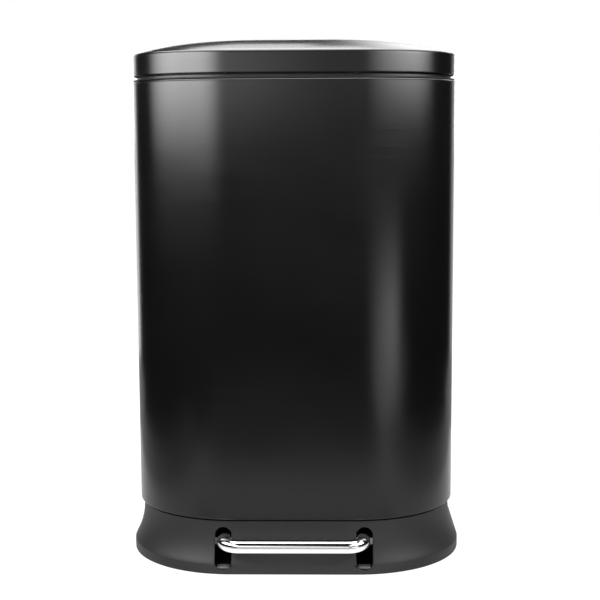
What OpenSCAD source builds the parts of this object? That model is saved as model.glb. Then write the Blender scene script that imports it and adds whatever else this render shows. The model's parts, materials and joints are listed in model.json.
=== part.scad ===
// Step-on waste bin: a steel sleeve on a flared moulded base, under a domed lid on a rear hinge.
// A tube pedal rocks a lever on an axle in the base. The back of the lever lifts a rod behind the
// bucket, and the rod's head lifts a crank pin on the lid's hinge leaf. A damper slows the rod.
// Millimetres. +Z is up and the front faces -Y. The origin lies under the middle of the whole
// bin, on the surface that its rubber feet stand on.

/* [Can] */
// Width of the steel sleeve
can_w = 400; // [340:1:480]
// Depth of the steel sleeve, front to back
can_d = 310; // [280:1:380]
// Radius of the two front corners in plan
front_corner_r = 124; // [80:1:130]
// Radius of the two rear corners in plan
rear_corner_r = 60; // [50:1:90]
// Height of the sleeve from its lower hem to its upper bead
sleeve_h = 526; // [380:1:640]
// Thickness of the sleeve's sheet
sheet_t = 0.8; // [0.6:0.1:1.2]
// Radius of the rolled bead round the sleeve's mouth
bead_r = 1.4; // [1.2:0.1:1.8]
// How far the bead stands proud of the sleeve
bead_out = 0.6; // [0.3:0.1:1]
// Radius of the hem that is rolled inwards at the sleeve's foot
hem_r = 1.4; // [1:0.1:1.8]

/* [Base] */
// Height of the moulded base from its lower edge to its shoulder
base_h = 65; // [60:0.5:90]
// Wall of the moulded base
base_wall = 2.5; // [2:0.1:3.5]
// How far the foot of the flare stands outside the sleeve
flare_out = 8.4; // [6:0.1:14]
// How far the neck of the base lies inside the sleeve
neck_in = 4; // [3.4:0.1:6]
// Height at which the neck turns upright
neck_z = 58; // [52:0.5:62]
// Height of the upright band round the foot
band_h = 12; // [8:0.5:14]
// Height of the centre of the flare's lower, outward arc
flare_z = 6; // [2:0.5:7]
// Radius of the flare's lower, outward arc
flare_r = 45; // [30:1:60]
// Thickness of the deck that closes the top of the base
deck_t = 3; // [2.5:0.1:4]
// Height of the deck's top above the shoulder
deck_rise = 9.5; // [8:0.5:14]
// Gap between the shoulder of the base and the sleeve's hem
seam_gap = 0.5; // [0.3:0.1:1]
// Thickness of the bottom plate
plate_t = 2.5; // [2:0.1:4]
// Height of the bottom plate above the base's lower edge
plate_lift = 3; // [2.8:0.1:4]
// Radius of a screw post under the deck
post_r = 6; // [5:0.5:8]
// Thickness of the steel floor pan
floor_t = 1.2; // [0.8:0.1:1.6]
// Depth of the floor pan's turned-down edge
floor_lip = 5; // [3:0.5:6]

/* [Feet] */
// Radius of a rubber foot
foot_r = 14; // [10:1:18]
// How far the rubber feet stand below the base's lower edge
foot_proud = 1; // [0.8:0.1:2]
// Radius of a foot's stem
stem_r = 3; // [2.5:0.1:4]

/* [Pedal slots] */
// Distance between the middles of the two slots
slot_spacing = 171; // [150:1:190]
// Width of a slot
slot_w = 20; // [18:0.5:24]
// Height of a slot's lower end above the base's edge
slot_low = 5; // [4.5:0.5:7]
// Height of a slot's upper end above the base's edge
slot_high = 55; // [53:0.5:56]

/* [Pedal] */
// Outer width of the pedal bar
pedal_w = 184.5; // [160:0.5:190]
// Outer radius of the pedal tube
tube_r = 8; // [7:0.5:8.5]
// Wall of the pedal tube
tube_wall = 1.2; // [1:0.1:2]
// Radius of the tube's bends, at its middle line
bend_r = 20; // [16:1:30]
// How far the pedal bar reaches in front of the base
pedal_reach = 33; // [26:1:60]
// Height of the pedal bar's middle above the base's edge
pedal_z = 43; // [42:0.5:44]
// How far behind the front of the sleeve the tubes' rear ends lie
tube_end = 65; // [60:1:75]

/* [Lever] */
// Distance of the pedal axle behind the front of the sleeve
axle_back = 125; // [115:1:135]
// Height of the pedal axle above the base's edge
axle_up = 32; // [31:0.5:33]
// Radius of the pedal axle
axle_r = 4; // [3:0.5:5]
// Length of the pedal axle
axle_l = 160; // [154:1:166]
// Thickness of the lever's steel
lever_t = 2.5; // [2:0.1:3]
// Outer width of the lever's spine
spine_w = 37; // [34:1:44]
// Width of the lever's cross plate
cross_w = 200; // [190:1:206]
// Depth of the lever's cross plate, front to back
cross_d = 40; // [34:1:44]
// Radius of the pin at the back of the lever
lift_pin_r = 3; // [2.5:0.1:3.2]
// How far in front of the lift rod the lever's rear pin lies
pin_ahead = 6; // [5:0.5:8]
// Distance between the middles of the two axle blocks
block_spacing = 134; // [120:1:140]
// Width of an axle block along the axle
block_w = 14; // [10:1:18]
// Outer radius of an axle bush
bush_r = 6; // [5.5:0.5:7]

/* [Lid] */
// Angle that the lid opens to
lid_angle = 75; // [60:1:80]
// How far the lid's skirt lies inside the sleeve's face
lid_in = 0.45; // [0.3:0.05:1]
// Gap between the top ring and the lid's skirt
lid_gap = 1.5; // [1:0.1:3]
// Height of the lid's skirt, with its rounded edge
skirt_h = 26.5; // [24:0.5:34]
// Height of the dome above the skirt
dome_h = 17; // [12:0.5:40]
// How level the dome stays before it falls to its edge
dome_power = 3.8; // [2:0.1:5]
// Radius of the rounded edge between skirt and dome
lid_edge_r = 5; // [3:0.5:8]
// Wall of the lid's plastic liner
liner_t = 2; // [1.6:0.1:2.5]
// Depth of the liner's sealing lip below its flange
lip_drop = 6; // [4:0.5:8]
// Radius of a lid bumper
bumper_r = 2.5; // [2:0.1:3]

/* [Top ring] */
// How far the ring's visible edge lies inside the sleeve's face
ring_in = 2.5; // [2.3:0.1:3]
// Height of the ring above the sleeve
ring_show = 5; // [4:0.5:8]
// Width of the ring's top face
ring_w = 6.5; // [6:0.5:9]
// Depth of the ring inside the sleeve
ring_drop = 21.5; // [18:0.5:26]

/* [Hinge] */
// Distance of the hinge axis behind the sleeve
hinge_out = 11; // [10.5:0.1:13]
// Height of the hinge axis above the top ring
hinge_up = 7.5; // [7.2:0.1:9]
// Radius of the hinge pin
hinge_pin_r = 2.5; // [2:0.1:3]
// Radius of the lid's hinge knuckles
knuckle_r = 6; // [5:0.1:6.2]
// Radius of the crank pin
crank_pin_r = 3; // [2.5:0.1:3]
// Width of the hinge housing behind the sleeve
housing_w = 120; // [116:1:140]
// Depth of the hinge housing behind the sleeve
housing_d = 24; // [22:0.5:32]
// Height of the hinge housing below the top ring
housing_h = 89; // [84:1:120]
// Wall of the hinge housing
housing_wall = 2.5; // [2:0.1:3.5]

/* [Lift rod and damper] */
// Radius of the lift rod
rod_r = 3; // [2.5:0.1:3]
// Distance of the damper to the right of the rod
damper_x = 36; // [34:1:50]
// Outer radius of the damper's tube
damper_r = 9; // [8:0.5:9]
// Wall of the damper's tube
damper_wall = 1.5; // [1.2:0.1:2]
// Length of the damper's tube
damper_l = 92; // [84:1:120]
// Radius of the damper's own rod
damper_rod_r = 2; // [1.5:0.1:2.2]

/* [Bucket] */
// Gap between the bucket's rim and the top ring, all round but the back
bucket_gap = 2; // [1.5:0.5:6]
// Space kept behind the bucket's rim for the rod and the damper
bucket_rear = 24; // [23:1:40]
// Wall of the bucket
bucket_wall = 2.2; // [1.8:0.1:3]
// How far the bucket's wall leans in from its rim to its foot
bucket_lean = 20; // [8:1:22]
// Depth of the bucket's rim below the sleeve's mouth
bucket_drop = 9.5; // [8:0.5:60]
// Width of the bucket's rim
rim_w = 6; // [5:0.5:8]
// Depth of the bucket's turned-down rim
rim_d = 12; // [8:1:16]
// Height of the hollow under the bucket's floor
bucket_foot = 6; // [5.5:0.5:10]
// Length of a hand hole in the bucket's side
grip_l = 100; // [80:1:110]
// Height of a hand hole in the bucket's side
grip_h = 24; // [20:1:30]

/* [Fits] */
// Radial clearance between a shaft and what it turns or slides in
running = 0.05; // [0.02:0.01:0.1]
// Radial clearance between a fixed pin and its hole
snug = 0.02; // [0.01:0.01:0.05]
// Gap between neighbours that must not touch
clear = 0.3; // [0.3:0.05:0.5]
// Radius of a medium screw's shank
screw_r = 2; // [1.8:0.1:2.2]
// Radius of a medium screw's head
screw_head_r = 4; // [3.6:0.1:4.5]
// Height of a medium screw's head
screw_head_h = 2.4; // [2:0.1:2.6]

/* [Hidden] */
$fn = 96;

// Extra depth of a cut past the face that it starts from
cut = 1;
// How far a block is tucked inside a round that it runs into
tuck = 0.4;

// Heights
edge_z = foot_proud;
plate_z = edge_z + plate_lift;
plate_top_z = plate_z + plate_t;
shoulder_z = edge_z + base_h;
sleeve_z = shoulder_z + seam_gap;
sleeve_top_z = sleeve_z + sleeve_h;
deck_top_z = shoulder_z + deck_rise;
deck_z = deck_top_z - deck_t;
floor_top_z = deck_top_z + floor_t;
ring_top_z = sleeve_top_z + ring_show;
lid_z = ring_top_z + lid_gap;
skirt_top_z = lid_z + skirt_h;

// Front and back of the sleeve, from the middle of the can
front_y = -can_d / 2;
back_y = can_d / 2;
inner_back_y = back_y - sheet_t;

// Flare of the base: an upper arc that turns the neck out, tangent to the lower arc
flare_w = flare_out + neck_in;
flare_rise = neck_z - flare_z;
neck_r = (pow(flare_w, 2) + pow(flare_rise, 2)) / (2 * flare_w) - flare_r;
flare_turn = asin(flare_rise / (flare_r + neck_r));
band_turn = asin((band_h - flare_z) / flare_r);
band_in = flare_r * (1 - cos(band_turn));
flare_steps = 7;
band_out = flare_out - band_in;
foot_front_y = front_y - band_out;
register_in = 1;
hem_in = 0.1;
slot_depth = 30;

// Lift rod: its bush stands just in front of the base's register
rod_bush_wall = 1.6;
rod_bush_r = rod_r + rod_bush_wall;
rod_bush_gap = 0.2;
rod_y = back_y - neck_in - register_in - base_wall - rod_bush_gap - rod_bush_r;

// Crank: half way through the lid's turn its pin is as far behind the rod as it was in front
hinge_y = back_y + hinge_out;
hinge_z = ring_top_z + hinge_up;
crank_r = 2 * (hinge_y - rod_y) / (1 + cos(lid_angle / 2));
crank_y = hinge_y - crank_r * cos(lid_angle / 2);
crank_z = hinge_z - crank_r * sin(lid_angle / 2);
rod_lift = 2 * crank_r * sin(lid_angle / 2);
crank_slide = crank_r * (1 - cos(lid_angle / 2)) / 2;
crank_sag = 0.8;

// Lever: it swings evenly above and below level as the rod travels
axle_y = front_y + axle_back;
axle_z = edge_z + axle_up;
lift_y = rod_y - pin_ahead;
pedal_angle = 4 * atan(rod_lift / (4 * (lift_y - axle_y)));
lever_l = rod_lift / (2 * sin(pedal_angle / 2));
lift_pin_y = axle_y + lever_l * cos(pedal_angle / 2);
lift_pin_z = axle_z - rod_lift / 2;
lever_slide = lever_l * (1 - cos(pedal_angle / 2)) / 2;

// Pedal tube
bar_y = foot_front_y - pedal_reach + tube_r;
bar_z = edge_z + pedal_z;
arm_x = pedal_w / 2 - tube_r;
tube_end_y = front_y + tube_end;
cross_tail = 2;
cross_gap = 0.1;
cross_y = tube_end_y + cross_tail - cross_d;
cross_top_z = bar_z - tube_r - cross_gap;
cross_low_z = cross_top_z - lever_t;
cross_lip = 8;
tube_screw_r = 2.5;
tube_screw_head_r = 4.5;
tube_screw_head_h = 3;
tube_screw_bite = 6;
tube_screw_inset = 10;
plug_l = 3;
plug_depth = 5;

// Lever sides
cheek_top = 9;
cheek_foot = 8;
cheek_drop = 13;
cheek_x = spine_w / 2 - lever_t;
web_end_y = lift_y - 14;
web_drop = 0.5;

// Axle blocks, clips and bushes
block_d = 40;
block_foot_t = 3;
block_foot_w = 28;
block_r = 11;
block_screw_y = 15;
bush_flange_r = 8;
bush_flange_t = 1.5;
clip_r = 7;
clip_t = 2;
pin_tail = 1;
pin_clip_step = 2;

// Screw posts and feet, as places in plan on the right-hand side
post_places = [
    [can_w / 2 - 60, front_y + 70],
    [can_w / 2 - 42, 30],
    [can_w / 2 - 100, back_y - 33]
];
foot_places = [[can_w / 2 - 88, front_y + 55], [can_w / 2 - 50, back_y - 50]];
floor_screw_places = [
    [can_w / 2 - 110, front_y + 45],
    [can_w / 2 - 80, 0],
    [can_w / 2 - 140, back_y - 65]
];
post_hole_depth = 20;
base_screw_l = plate_t + 16;
floor_screw_l = deck_t + floor_t + 3;
small_head_r = 3.5;
stem_head_r = 4.5;
stem_head_h = 2;

// Hinge housing and its backplate
housing_z = ring_top_z - housing_h;
housing_top_z = ring_top_z + 0.5;
housing_corner_r = 8;
ear_w = 7;
ear_r = 7;
ear_x = housing_w / 2 - 3 - ear_w;
knuckle_w = 8;
knuckle_x = ear_x - 0.5 - knuckle_w;
boss_r = 6;
backplate_t = 2;
backplate_w = 88;
backplate_z = ring_top_z - 81.5;
backplate_h = 50;
guide_t = 2.5;
guide_w = 20;
guide_d = 9;
hinge_screw_x = 32;
hinge_screw_up = [12, 38];
hinge_screw_l = 18;
pin_end = 1.5;
pin_cap_t = 2.5;
pin_cap_r = 5;

// Top ring: notch behind for the crank
notch_w = 24;
notch_d = 20;
notch_rim = 0.6;
collar_drop = 2.5;
seat_t = 1.2;
seat_in = 0.8;
ring_wall = 2.1;

// Hinge leaf
leaf_w = 2 * (knuckle_x + knuckle_w);
leaf_t = 2.5;
panel_z = ring_top_z + 9.5;
leaf_front_y = back_y - 63;
leaf_back_y = back_y - 9;
leaf_screw_y = [leaf_front_y + 14, leaf_back_y - 14];
leaf_screw_x = 30;
leaf_boss_h = 8;
leaf_screw_l = leaf_t + leaf_boss_h - 3;
knuckle_arm_l = 8;
crank_gap = 5.5;
crank_t = 3;
crank_boss_r = 6;
crank_root = 6;
crank_pin_l = 2 * (crank_gap + crank_t) + 3;
crank_head_t = 1.2;
crank_head_step = 1;

// Lid
corner_steps = 12;
edge_steps = 4;
edge_turn = 66;
edge_drop = lid_edge_r * (1 - sin(edge_turn));
dome_steps = 7;
dome_spacing = 1.4;
lid_notch_w = leaf_w + 3;
lid_notch_h = 9;
lid_notch_d = 12;
liner_notch_d = 15;
flange_z = ring_top_z + 3.5;
lip_in = ring_in + ring_w + 2;
liner_fit = 0.5;
liner_out = lid_in + sheet_t + liner_fit;
liner_rise = 14;
bumper_places = [
    [can_w / 2 - front_corner_r, front_y + ring_in + ring_w / 2],
    [can_w / 2 - ring_in - ring_w / 2, 0],
    [can_w / 2 - rear_corner_r - 30, back_y - ring_in - ring_w / 2]
];

// Rod head and foot
head_w = 9;
head_d = 17;
head_up = 7;
head_down = 20;
head_grip = 12;
foot_block_w = 14;
foot_block_front = 8;
foot_block_rear = 4;
foot_block_down = 9;
foot_block_up = 20;
foot_block_grip = 12;
rod_low_z = lift_pin_z + foot_block_up - foot_block_grip;
rod_high_z = crank_z - head_down + head_grip;
rod_bush_tail = 2;
rod_bush_flange_r = 9;
rod_bush_flange_t = 2;

// Damper
damper_y = rod_y - 2;
bracket_t = 3;
bracket_cup_h = 22;
bracket_cup_wall = 2;
bracket_w = 44;
bracket_d = 20;
damper_screw_x = 17;
damper_foot_t = 3;
damper_z = floor_top_z + bracket_t;
damper_top_z = damper_z + damper_l;
cap_t = 6;
cap_plug_l = 6;
piston_z = damper_z + 12;
piston_h = 8;
arm_z = damper_top_z + cap_t + 14;
arm_h = 10;
arm_r = 7;
arm_bar_front = 6;
arm_bar_rear = 4;
nut_h = 3.2;
nut_r = 4;
arm_screw_r = 1.5;
arm_screw_head_r = 3;
arm_screw_head_h = 2;

// Bucket in plan
bucket_front_y = front_y + ring_in + ring_w + bucket_gap;
bucket_back_y = back_y - bucket_rear;
bucket_w = can_w - 2 * (ring_in + ring_w + bucket_gap);
bucket_front_r = front_corner_r - ring_in - ring_w - bucket_gap;
bucket_back_r = 45;
bucket_z = floor_top_z;
bucket_top_z = sleeve_top_z - bucket_drop;
grip_drop = 6;
grip_z = bucket_top_z - rim_d - grip_drop - grip_h;

// The whole box, and the shift that puts the origin under its middle
pedal_front_y = bar_y - tube_r;
rear_y = back_y + housing_d;
origin_y = -(pedal_front_y + rear_y) / 2;

// Puts a part that is drawn about the middle of the can into the bin's frame
module place() {
    translate([0, origin_y, 0]) children();
}

module both_sides() {
    for (side = [0, 1])
        mirror([side, 0, 0]) children();
}

module quarter(r) {
    intersection() {
        circle(r = r);
        square([r + cut, r + cut]);
    }
}

// Plan outline: width w, front at y0, back at y1, front corners rf, rear corners rr, grown by g
module plan(w, y0, y1, rf, rr, g) {
    for (side = [0, 1])
        mirror([side, 0]) {
            translate([w / 2 - rf, y0 + rf]) rotate(-90) quarter(rf + g);
            translate([w / 2 - rr, y1 - rr]) quarter(rr + g);
            translate([0, y0 - g]) square([w / 2 - rf, rf + g]);
            translate([0, y0 + rf]) square([w / 2 + g, y1 - y0 - rf - rr]);
            translate([0, y1 - rr]) square([w / 2 - rr, rr + g]);
        }
}

// Carries a profile round the same outline. In the profile x is the distance outside it.
module round_plan(w, y0, y1, rf, rr) {
    both_sides() {
        translate([0, y0, 0]) rotate([90, 0, -90]) translate([0, 0, rf - w / 2])
            linear_extrude(w / 2 - rf) children();
        translate([w / 2 - rf, y0 + rf, 0]) rotate([0, 0, -90])
            rotate_extrude(angle = 90) translate([rf, 0]) children();
        translate([w / 2, y1 - rr, 0]) rotate([90, 0, 0])
            linear_extrude(y1 - y0 - rf - rr) children();
        translate([w / 2 - rr, y1 - rr, 0])
            rotate_extrude(angle = 90) translate([rr, 0]) children();
        translate([0, y1, 0]) rotate([90, 0, 90])
            linear_extrude(w / 2 - rr) children();
    }
}

module can_plan(g) {
    plan(can_w, front_y, back_y, front_corner_r, rear_corner_r, g);
}

module round_can() {
    round_plan(can_w, front_y, back_y, front_corner_r, rear_corner_r) children();
}

module bucket_plan(g) {
    plan(bucket_w, bucket_front_y, bucket_back_y, bucket_front_r, bucket_back_r, g);
}

module round_bucket() {
    round_plan(bucket_w, bucket_front_y, bucket_back_y, bucket_front_r, bucket_back_r) children();
}

// A cylinder along X between two places
module rod_x(x0, x1, y, z, r) {
    translate([x0, y, z]) rotate([0, 90, 0]) cylinder(h = x1 - x0, r = r);
}

// A cylinder along Y between two places
module rod_y_way(y0, y1, x, z, r) {
    translate([x, y0, z]) rotate([-90, 0, 0]) cylinder(h = y1 - y0, r = r);
}

// A cylinder along Z between two heights
module rod_z(z0, z1, x, y, r) {
    translate([x, y, z0]) cylinder(h = z1 - z0, r = r);
}

// A block between two corners
module block(low, high) {
    translate(low) cube(high - low);
}

// Thickness t across X of an outline drawn in Y and Z, from x0
module side_plate(x0, t) {
    translate([x0, 0, 0]) rotate([90, 0, 90]) linear_extrude(t) children();
}

// Medium screw with its head's upper face at z and its shank going up
module screw_up(x, y, z, shank) {
    rod_z(z - screw_head_h, z, x, y, screw_head_r);
    rod_z(z, z + shank, x, y, screw_r);
}

// Medium screw with a small head, from z0 up to the head's lower face at z1
module small_screw(z0, z1) {
    rod_z(z0, z1, 0, 0, screw_r);
    rod_z(z1, z1 + screw_head_h, 0, 0, small_head_r);
}

// Slot round a pin along X that can slide by run each way along Y
module pin_slot(y, z, r, run, x0, x1) {
    rod_x(x0, x1, y - run, z, r);
    rod_x(x0, x1, y + run, z, r);
    block([x0, y - run, z - r], [x1, y + run, z + r]);
}

// ---------------------------------------------------------------- Can

module sleeve_profile() {
    translate([-sheet_t, sleeve_z + hem_r]) square([sheet_t, sleeve_h - hem_r - bead_r]);
    translate([bead_out - bead_r, sleeve_top_z - bead_r]) circle(r = bead_r);
    translate([-hem_in - hem_r, sleeve_z + hem_r]) circle(r = hem_r);
}

module hinge_screw_holes(r) {
    for (x = [-hinge_screw_x, hinge_screw_x], up = hinge_screw_up)
        rod_y_way(inner_back_y - backplate_t - cut, back_y + hinge_screw_l, x, backplate_z + up, r);
}

module body_shell() {
    color("#1c1c1e") place() difference() {
        round_can() sleeve_profile();
        hinge_screw_holes(screw_r + clear);
    }
}

module floor_screw_holes(r, z0, z1) {
    for (p = floor_screw_places)
        both_sides() rod_z(z0, z1, p[0], p[1], r);
}

module damper_screw_places() {
    for (x = [damper_x - damper_screw_x, damper_x + damper_screw_x])
        translate([x, damper_y, 0]) children();
}

module damper_screw_holes(r, z0, z1) {
    damper_screw_places() rod_z(z0, z1, 0, 0, r);
}

module body_floor() {
    color("#9a9c9e") place() difference() {
        union() {
            translate([0, 0, deck_top_z]) linear_extrude(floor_t) can_plan(-sheet_t - clear);
            round_can() translate([-sheet_t - clear - floor_t, floor_top_z - floor_lip])
                square([floor_t, floor_lip]);
        }
        floor_screw_holes(screw_r + snug, deck_z, floor_top_z + cut);
        damper_screw_holes(screw_r + snug, deck_z, floor_top_z + cut);
        rod_z(deck_z, floor_top_z + cut, 0, rod_y, rod_bush_r + snug);
    }
}

module ring_profile() {
    // Collar that shows above the sleeve, with its seat on the sleeve's mouth
    translate([-ring_in - ring_w, sleeve_top_z - collar_drop]) square([ring_w, ring_show + collar_drop]);
    translate([-ring_in - cut, sleeve_top_z]) square([ring_in + cut - seat_in, seat_t]);
    // Wall inside the sleeve
    translate([-ring_in - ring_wall, sleeve_top_z - ring_drop]) square([ring_wall, ring_drop]);
}

module top_ring() {
    color("#151515") place() difference() {
        round_can() ring_profile();
        block([-notch_w / 2, back_y - notch_d, sleeve_top_z - ring_drop - cut],
              [notch_w / 2, inner_back_y - notch_rim, ring_top_z + cut]);
    }
}

// ---------------------------------------------------------------- Base

// Outer face of the base from its lower edge up to the neck, as distance outside the neck and height
function flare_points() = concat(
    [[flare_w - band_in, 0]],
    [for (i = [0:flare_steps]) let (turn = band_turn + (flare_turn - band_turn) * i / flare_steps)
        [flare_w - flare_r * (1 - cos(turn)), flare_z + flare_r * sin(turn)]],
    [for (i = [1:flare_steps]) let (turn = flare_turn * (1 - i / flare_steps))
        [neck_r * (1 - cos(turn)), neck_z - neck_r * sin(turn)]]
);

module skirt_profile() {
    outer = flare_points();
    last = len(outer) - 1;
    translate([-neck_in, edge_z]) polygon(concat(
        outer,
        [[0, base_h], [-register_in, base_h], [-register_in, base_h + deck_rise]],
        [[-register_in - base_wall, base_h + deck_rise], [-register_in - base_wall, base_h - base_wall]],
        [[-base_wall, base_h - base_wall]],
        [for (i = [0:last]) [outer[last - i][0] - base_wall, outer[last - i][1]]]
    ));
}

module pedal_slots() {
    slot_r = slot_w / 2;
    y0 = foot_front_y - cut;
    y1 = front_y + slot_depth;
    both_sides() {
        rod_y_way(y0, y1, slot_spacing / 2, edge_z + slot_low + slot_r, slot_r);
        rod_y_way(y0, y1, slot_spacing / 2, edge_z + slot_high - slot_r, slot_r);
        block([slot_spacing / 2 - slot_r, y0, edge_z + slot_low + slot_r],
              [slot_spacing / 2 + slot_r, y1, edge_z + slot_high - slot_r]);
    }
}

// Upright rounds at the places of the screw posts: the posts themselves, and their holes
module post_rounds(r, z0, z1) {
    for (p = post_places)
        both_sides() rod_z(z0, z1, p[0], p[1], r);
}

module base_skirt() {
    color("#1a1a1b") place() difference() {
        union() {
            round_can() skirt_profile();
            translate([0, 0, deck_z]) linear_extrude(deck_t) can_plan(-neck_in - register_in - cut);
            post_rounds(post_r, plate_top_z, deck_z + cut);
        }
        pedal_slots();
        post_rounds(screw_r + snug, plate_top_z - cut, plate_top_z + post_hole_depth);
        floor_screw_holes(screw_r + clear, deck_z - cut, deck_top_z + cut);
        damper_screw_holes(screw_r + clear, deck_z - cut, deck_top_z + cut);
        rod_z(deck_z - cut, deck_top_z + cut, 0, rod_y, rod_bush_r + snug);
    }
}

module block_screw_places() {
    for (x = [-block_spacing / 2, block_spacing / 2], y = [-block_screw_y, block_screw_y])
        translate([x, axle_y + y, 0]) children();
}

module block_screw_holes(r, z0, z1) {
    block_screw_places() rod_z(z0, z1, 0, 0, r);
}

module base_plate() {
    color("#232324") place() difference() {
        translate([0, 0, plate_z]) linear_extrude(plate_t) can_plan(band_out - base_wall - clear);
        post_rounds(screw_r + clear, plate_z - cut, plate_top_z + cut);
        for (p = foot_places)
            both_sides() rod_z(plate_z - cut, plate_top_z + cut, p[0], p[1], stem_r + snug);
        block_screw_holes(screw_r + snug, plate_z - cut, plate_top_z + cut);
    }
}

module base_screws() {
    color("silver") place() for (p = post_places)
        both_sides() screw_up(p[0], p[1], plate_z, base_screw_l);
}

module floor_screws() {
    color("silver") place() for (p = floor_screw_places)
        both_sides() screw_up(p[0], p[1], deck_z, floor_screw_l);
}

module rubber_feet() {
    color("#0e0e0e") place() for (p = foot_places)
        both_sides() {
            rod_z(0, plate_z, p[0], p[1], foot_r);
            rod_z(plate_z, plate_top_z, p[0], p[1], stem_r);
            rod_z(plate_top_z, plate_top_z + stem_head_h, p[0], p[1], stem_head_r);
        }
}

module pivot_blocks() {
    color("#2b2b2d") place() difference() {
        both_sides() {
            x = block_spacing / 2;
            block([x - block_foot_w / 2, axle_y - block_d / 2, plate_top_z],
                  [x + block_foot_w / 2, axle_y + block_d / 2, plate_top_z + block_foot_t]);
            block([x - block_w / 2, axle_y - block_r + tuck, plate_top_z],
                  [x + block_w / 2, axle_y + block_r - tuck, axle_z]);
            rod_x(x - block_w / 2, x + block_w / 2, axle_y, axle_z, block_r);
        }
        rod_x(-can_w / 2, can_w / 2, axle_y, axle_z, bush_r + snug);
        block_screw_holes(screw_r + clear, plate_top_z - cut, plate_top_z + block_foot_t + cut);
    }
}

module pivot_screws() {
    color("silver") place() block_screw_places() small_screw(plate_z, plate_top_z + block_foot_t);
}

module axle_bushes() {
    x0 = block_spacing / 2 - block_w / 2;
    color("#e6e4dc") place() difference() {
        both_sides() {
            rod_x(x0, x0 + block_w, axle_y, axle_z, bush_r);
            rod_x(x0 - bush_flange_t, x0, axle_y, axle_z, bush_flange_r);
        }
        rod_x(-can_w / 2, can_w / 2, axle_y, axle_z, axle_r + running);
    }
}

// ---------------------------------------------------------------- Hinge on the can

module housing_plan(g) {
    r = housing_corner_r;
    for (side = [0, 1])
        mirror([side, 0]) {
            translate([housing_w / 2 - r, back_y + housing_d - r]) quarter(r + g);
            translate([0, back_y - g]) square([housing_w / 2 + g, housing_d - r + g]);
            translate([0, back_y + housing_d - r]) square([housing_w / 2 - r, r + g]);
        }
}

module hinge_housing() {
    low_z = housing_z + housing_wall;
    high_z = housing_top_z - housing_wall;
    color("#151515") place() difference() {
        union() {
            difference() {
                translate([0, 0, housing_z]) linear_extrude(housing_top_z - housing_z) housing_plan(0);
                translate([0, 0, low_z]) linear_extrude(high_z - low_z) housing_plan(-housing_wall);
                block([-housing_w / 2 + housing_wall, back_y - cut, low_z],
                      [housing_w / 2 - housing_wall, back_y + housing_wall + cut, high_z]);
            }
            for (x = [-hinge_screw_x, hinge_screw_x], up = hinge_screw_up)
                rod_y_way(back_y, back_y + housing_d - housing_wall / 2, x, backplate_z + up, boss_r);
            both_sides() {
                block([ear_x, hinge_y - ear_r + tuck, housing_top_z - cut],
                      [ear_x + ear_w, hinge_y + ear_r - tuck, hinge_z]);
                rod_x(ear_x, ear_x + ear_w, hinge_y, hinge_z, ear_r);
            }
        }
        rod_x(-housing_w, housing_w, hinge_y, hinge_z, hinge_pin_r + snug);
        for (x = [-hinge_screw_x, hinge_screw_x], up = hinge_screw_up)
            rod_y_way(back_y - cut, back_y + hinge_screw_l, x, backplate_z + up, screw_r + snug);
        block([-housing_w, back_y - cut, sleeve_top_z - 2 * bead_r - clear],
              [housing_w, back_y + bead_out + clear, sleeve_top_z + clear]);
    }
}

module hinge_backplate() {
    y0 = inner_back_y - backplate_t;
    color("#a8aaad") place() difference() {
        union() {
            block([-backplate_w / 2, y0, backplate_z],
                  [backplate_w / 2, inner_back_y, backplate_z + backplate_h]);
            block([-guide_w / 2, rod_y - guide_d, backplate_z],
                  [guide_w / 2, y0 + cut, backplate_z + guide_t]);
        }
        hinge_screw_holes(screw_r + clear);
        rod_z(backplate_z - cut, backplate_z + guide_t + cut, 0, rod_y, rod_r + running);
    }
}

module hinge_screws() {
    y0 = inner_back_y - backplate_t;
    color("silver") place() for (x = [-hinge_screw_x, hinge_screw_x], up = hinge_screw_up) {
        rod_y_way(y0 - screw_head_h, y0, x, backplate_z + up, screw_head_r);
        rod_y_way(y0, back_y + hinge_screw_l - 2, x, backplate_z + up, screw_r);
    }
}

module hinge_pin() {
    x = ear_x + ear_w + pin_end;
    color("silver") place() rod_x(-x, x, hinge_y, hinge_z, hinge_pin_r);
}

module hinge_pin_caps() {
    x = ear_x + ear_w;
    color("#202020") place() both_sides() difference() {
        rod_x(x, x + pin_cap_t, hinge_y, hinge_z, pin_cap_r);
        rod_x(x - cut, x + pin_end, hinge_y, hinge_z, hinge_pin_r + snug);
    }
}

// ---------------------------------------------------------------- Rod guide and damper

module rod_bush() {
    low_z = deck_z - rod_bush_tail;
    high_z = floor_top_z + rod_bush_flange_t;
    color("#e6e4dc") place() difference() {
        union() {
            rod_z(low_z, floor_top_z, 0, rod_y, rod_bush_r);
            rod_z(floor_top_z, high_z, 0, rod_y, rod_bush_flange_r);
        }
        rod_z(low_z - cut, high_z + cut, 0, rod_y, rod_r + running);
    }
}

module damper_bracket() {
    cup_r = damper_r + bracket_cup_wall;
    color("#2b2b2d") place() difference() {
        union() {
            block([damper_x - bracket_w / 2, damper_y - bracket_d / 2, floor_top_z],
                  [damper_x + bracket_w / 2, damper_y + bracket_d / 2, floor_top_z + bracket_t]);
            rod_z(floor_top_z, floor_top_z + bracket_cup_h, damper_x, damper_y, cup_r);
        }
        rod_z(damper_z, floor_top_z + bracket_cup_h + cut, damper_x, damper_y, damper_r + snug);
        damper_screw_holes(screw_r + clear, floor_top_z - cut, floor_top_z + bracket_t + cut);
    }
}

module damper_screws() {
    color("silver") place() damper_screw_places() small_screw(deck_z, floor_top_z + bracket_t);
}

module damper_tube() {
    color("#3a3a3c") place() difference() {
        rod_z(damper_z, damper_top_z, damper_x, damper_y, damper_r);
        rod_z(damper_z + damper_foot_t, damper_top_z + cut, damper_x, damper_y, damper_r - damper_wall);
    }
}

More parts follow.
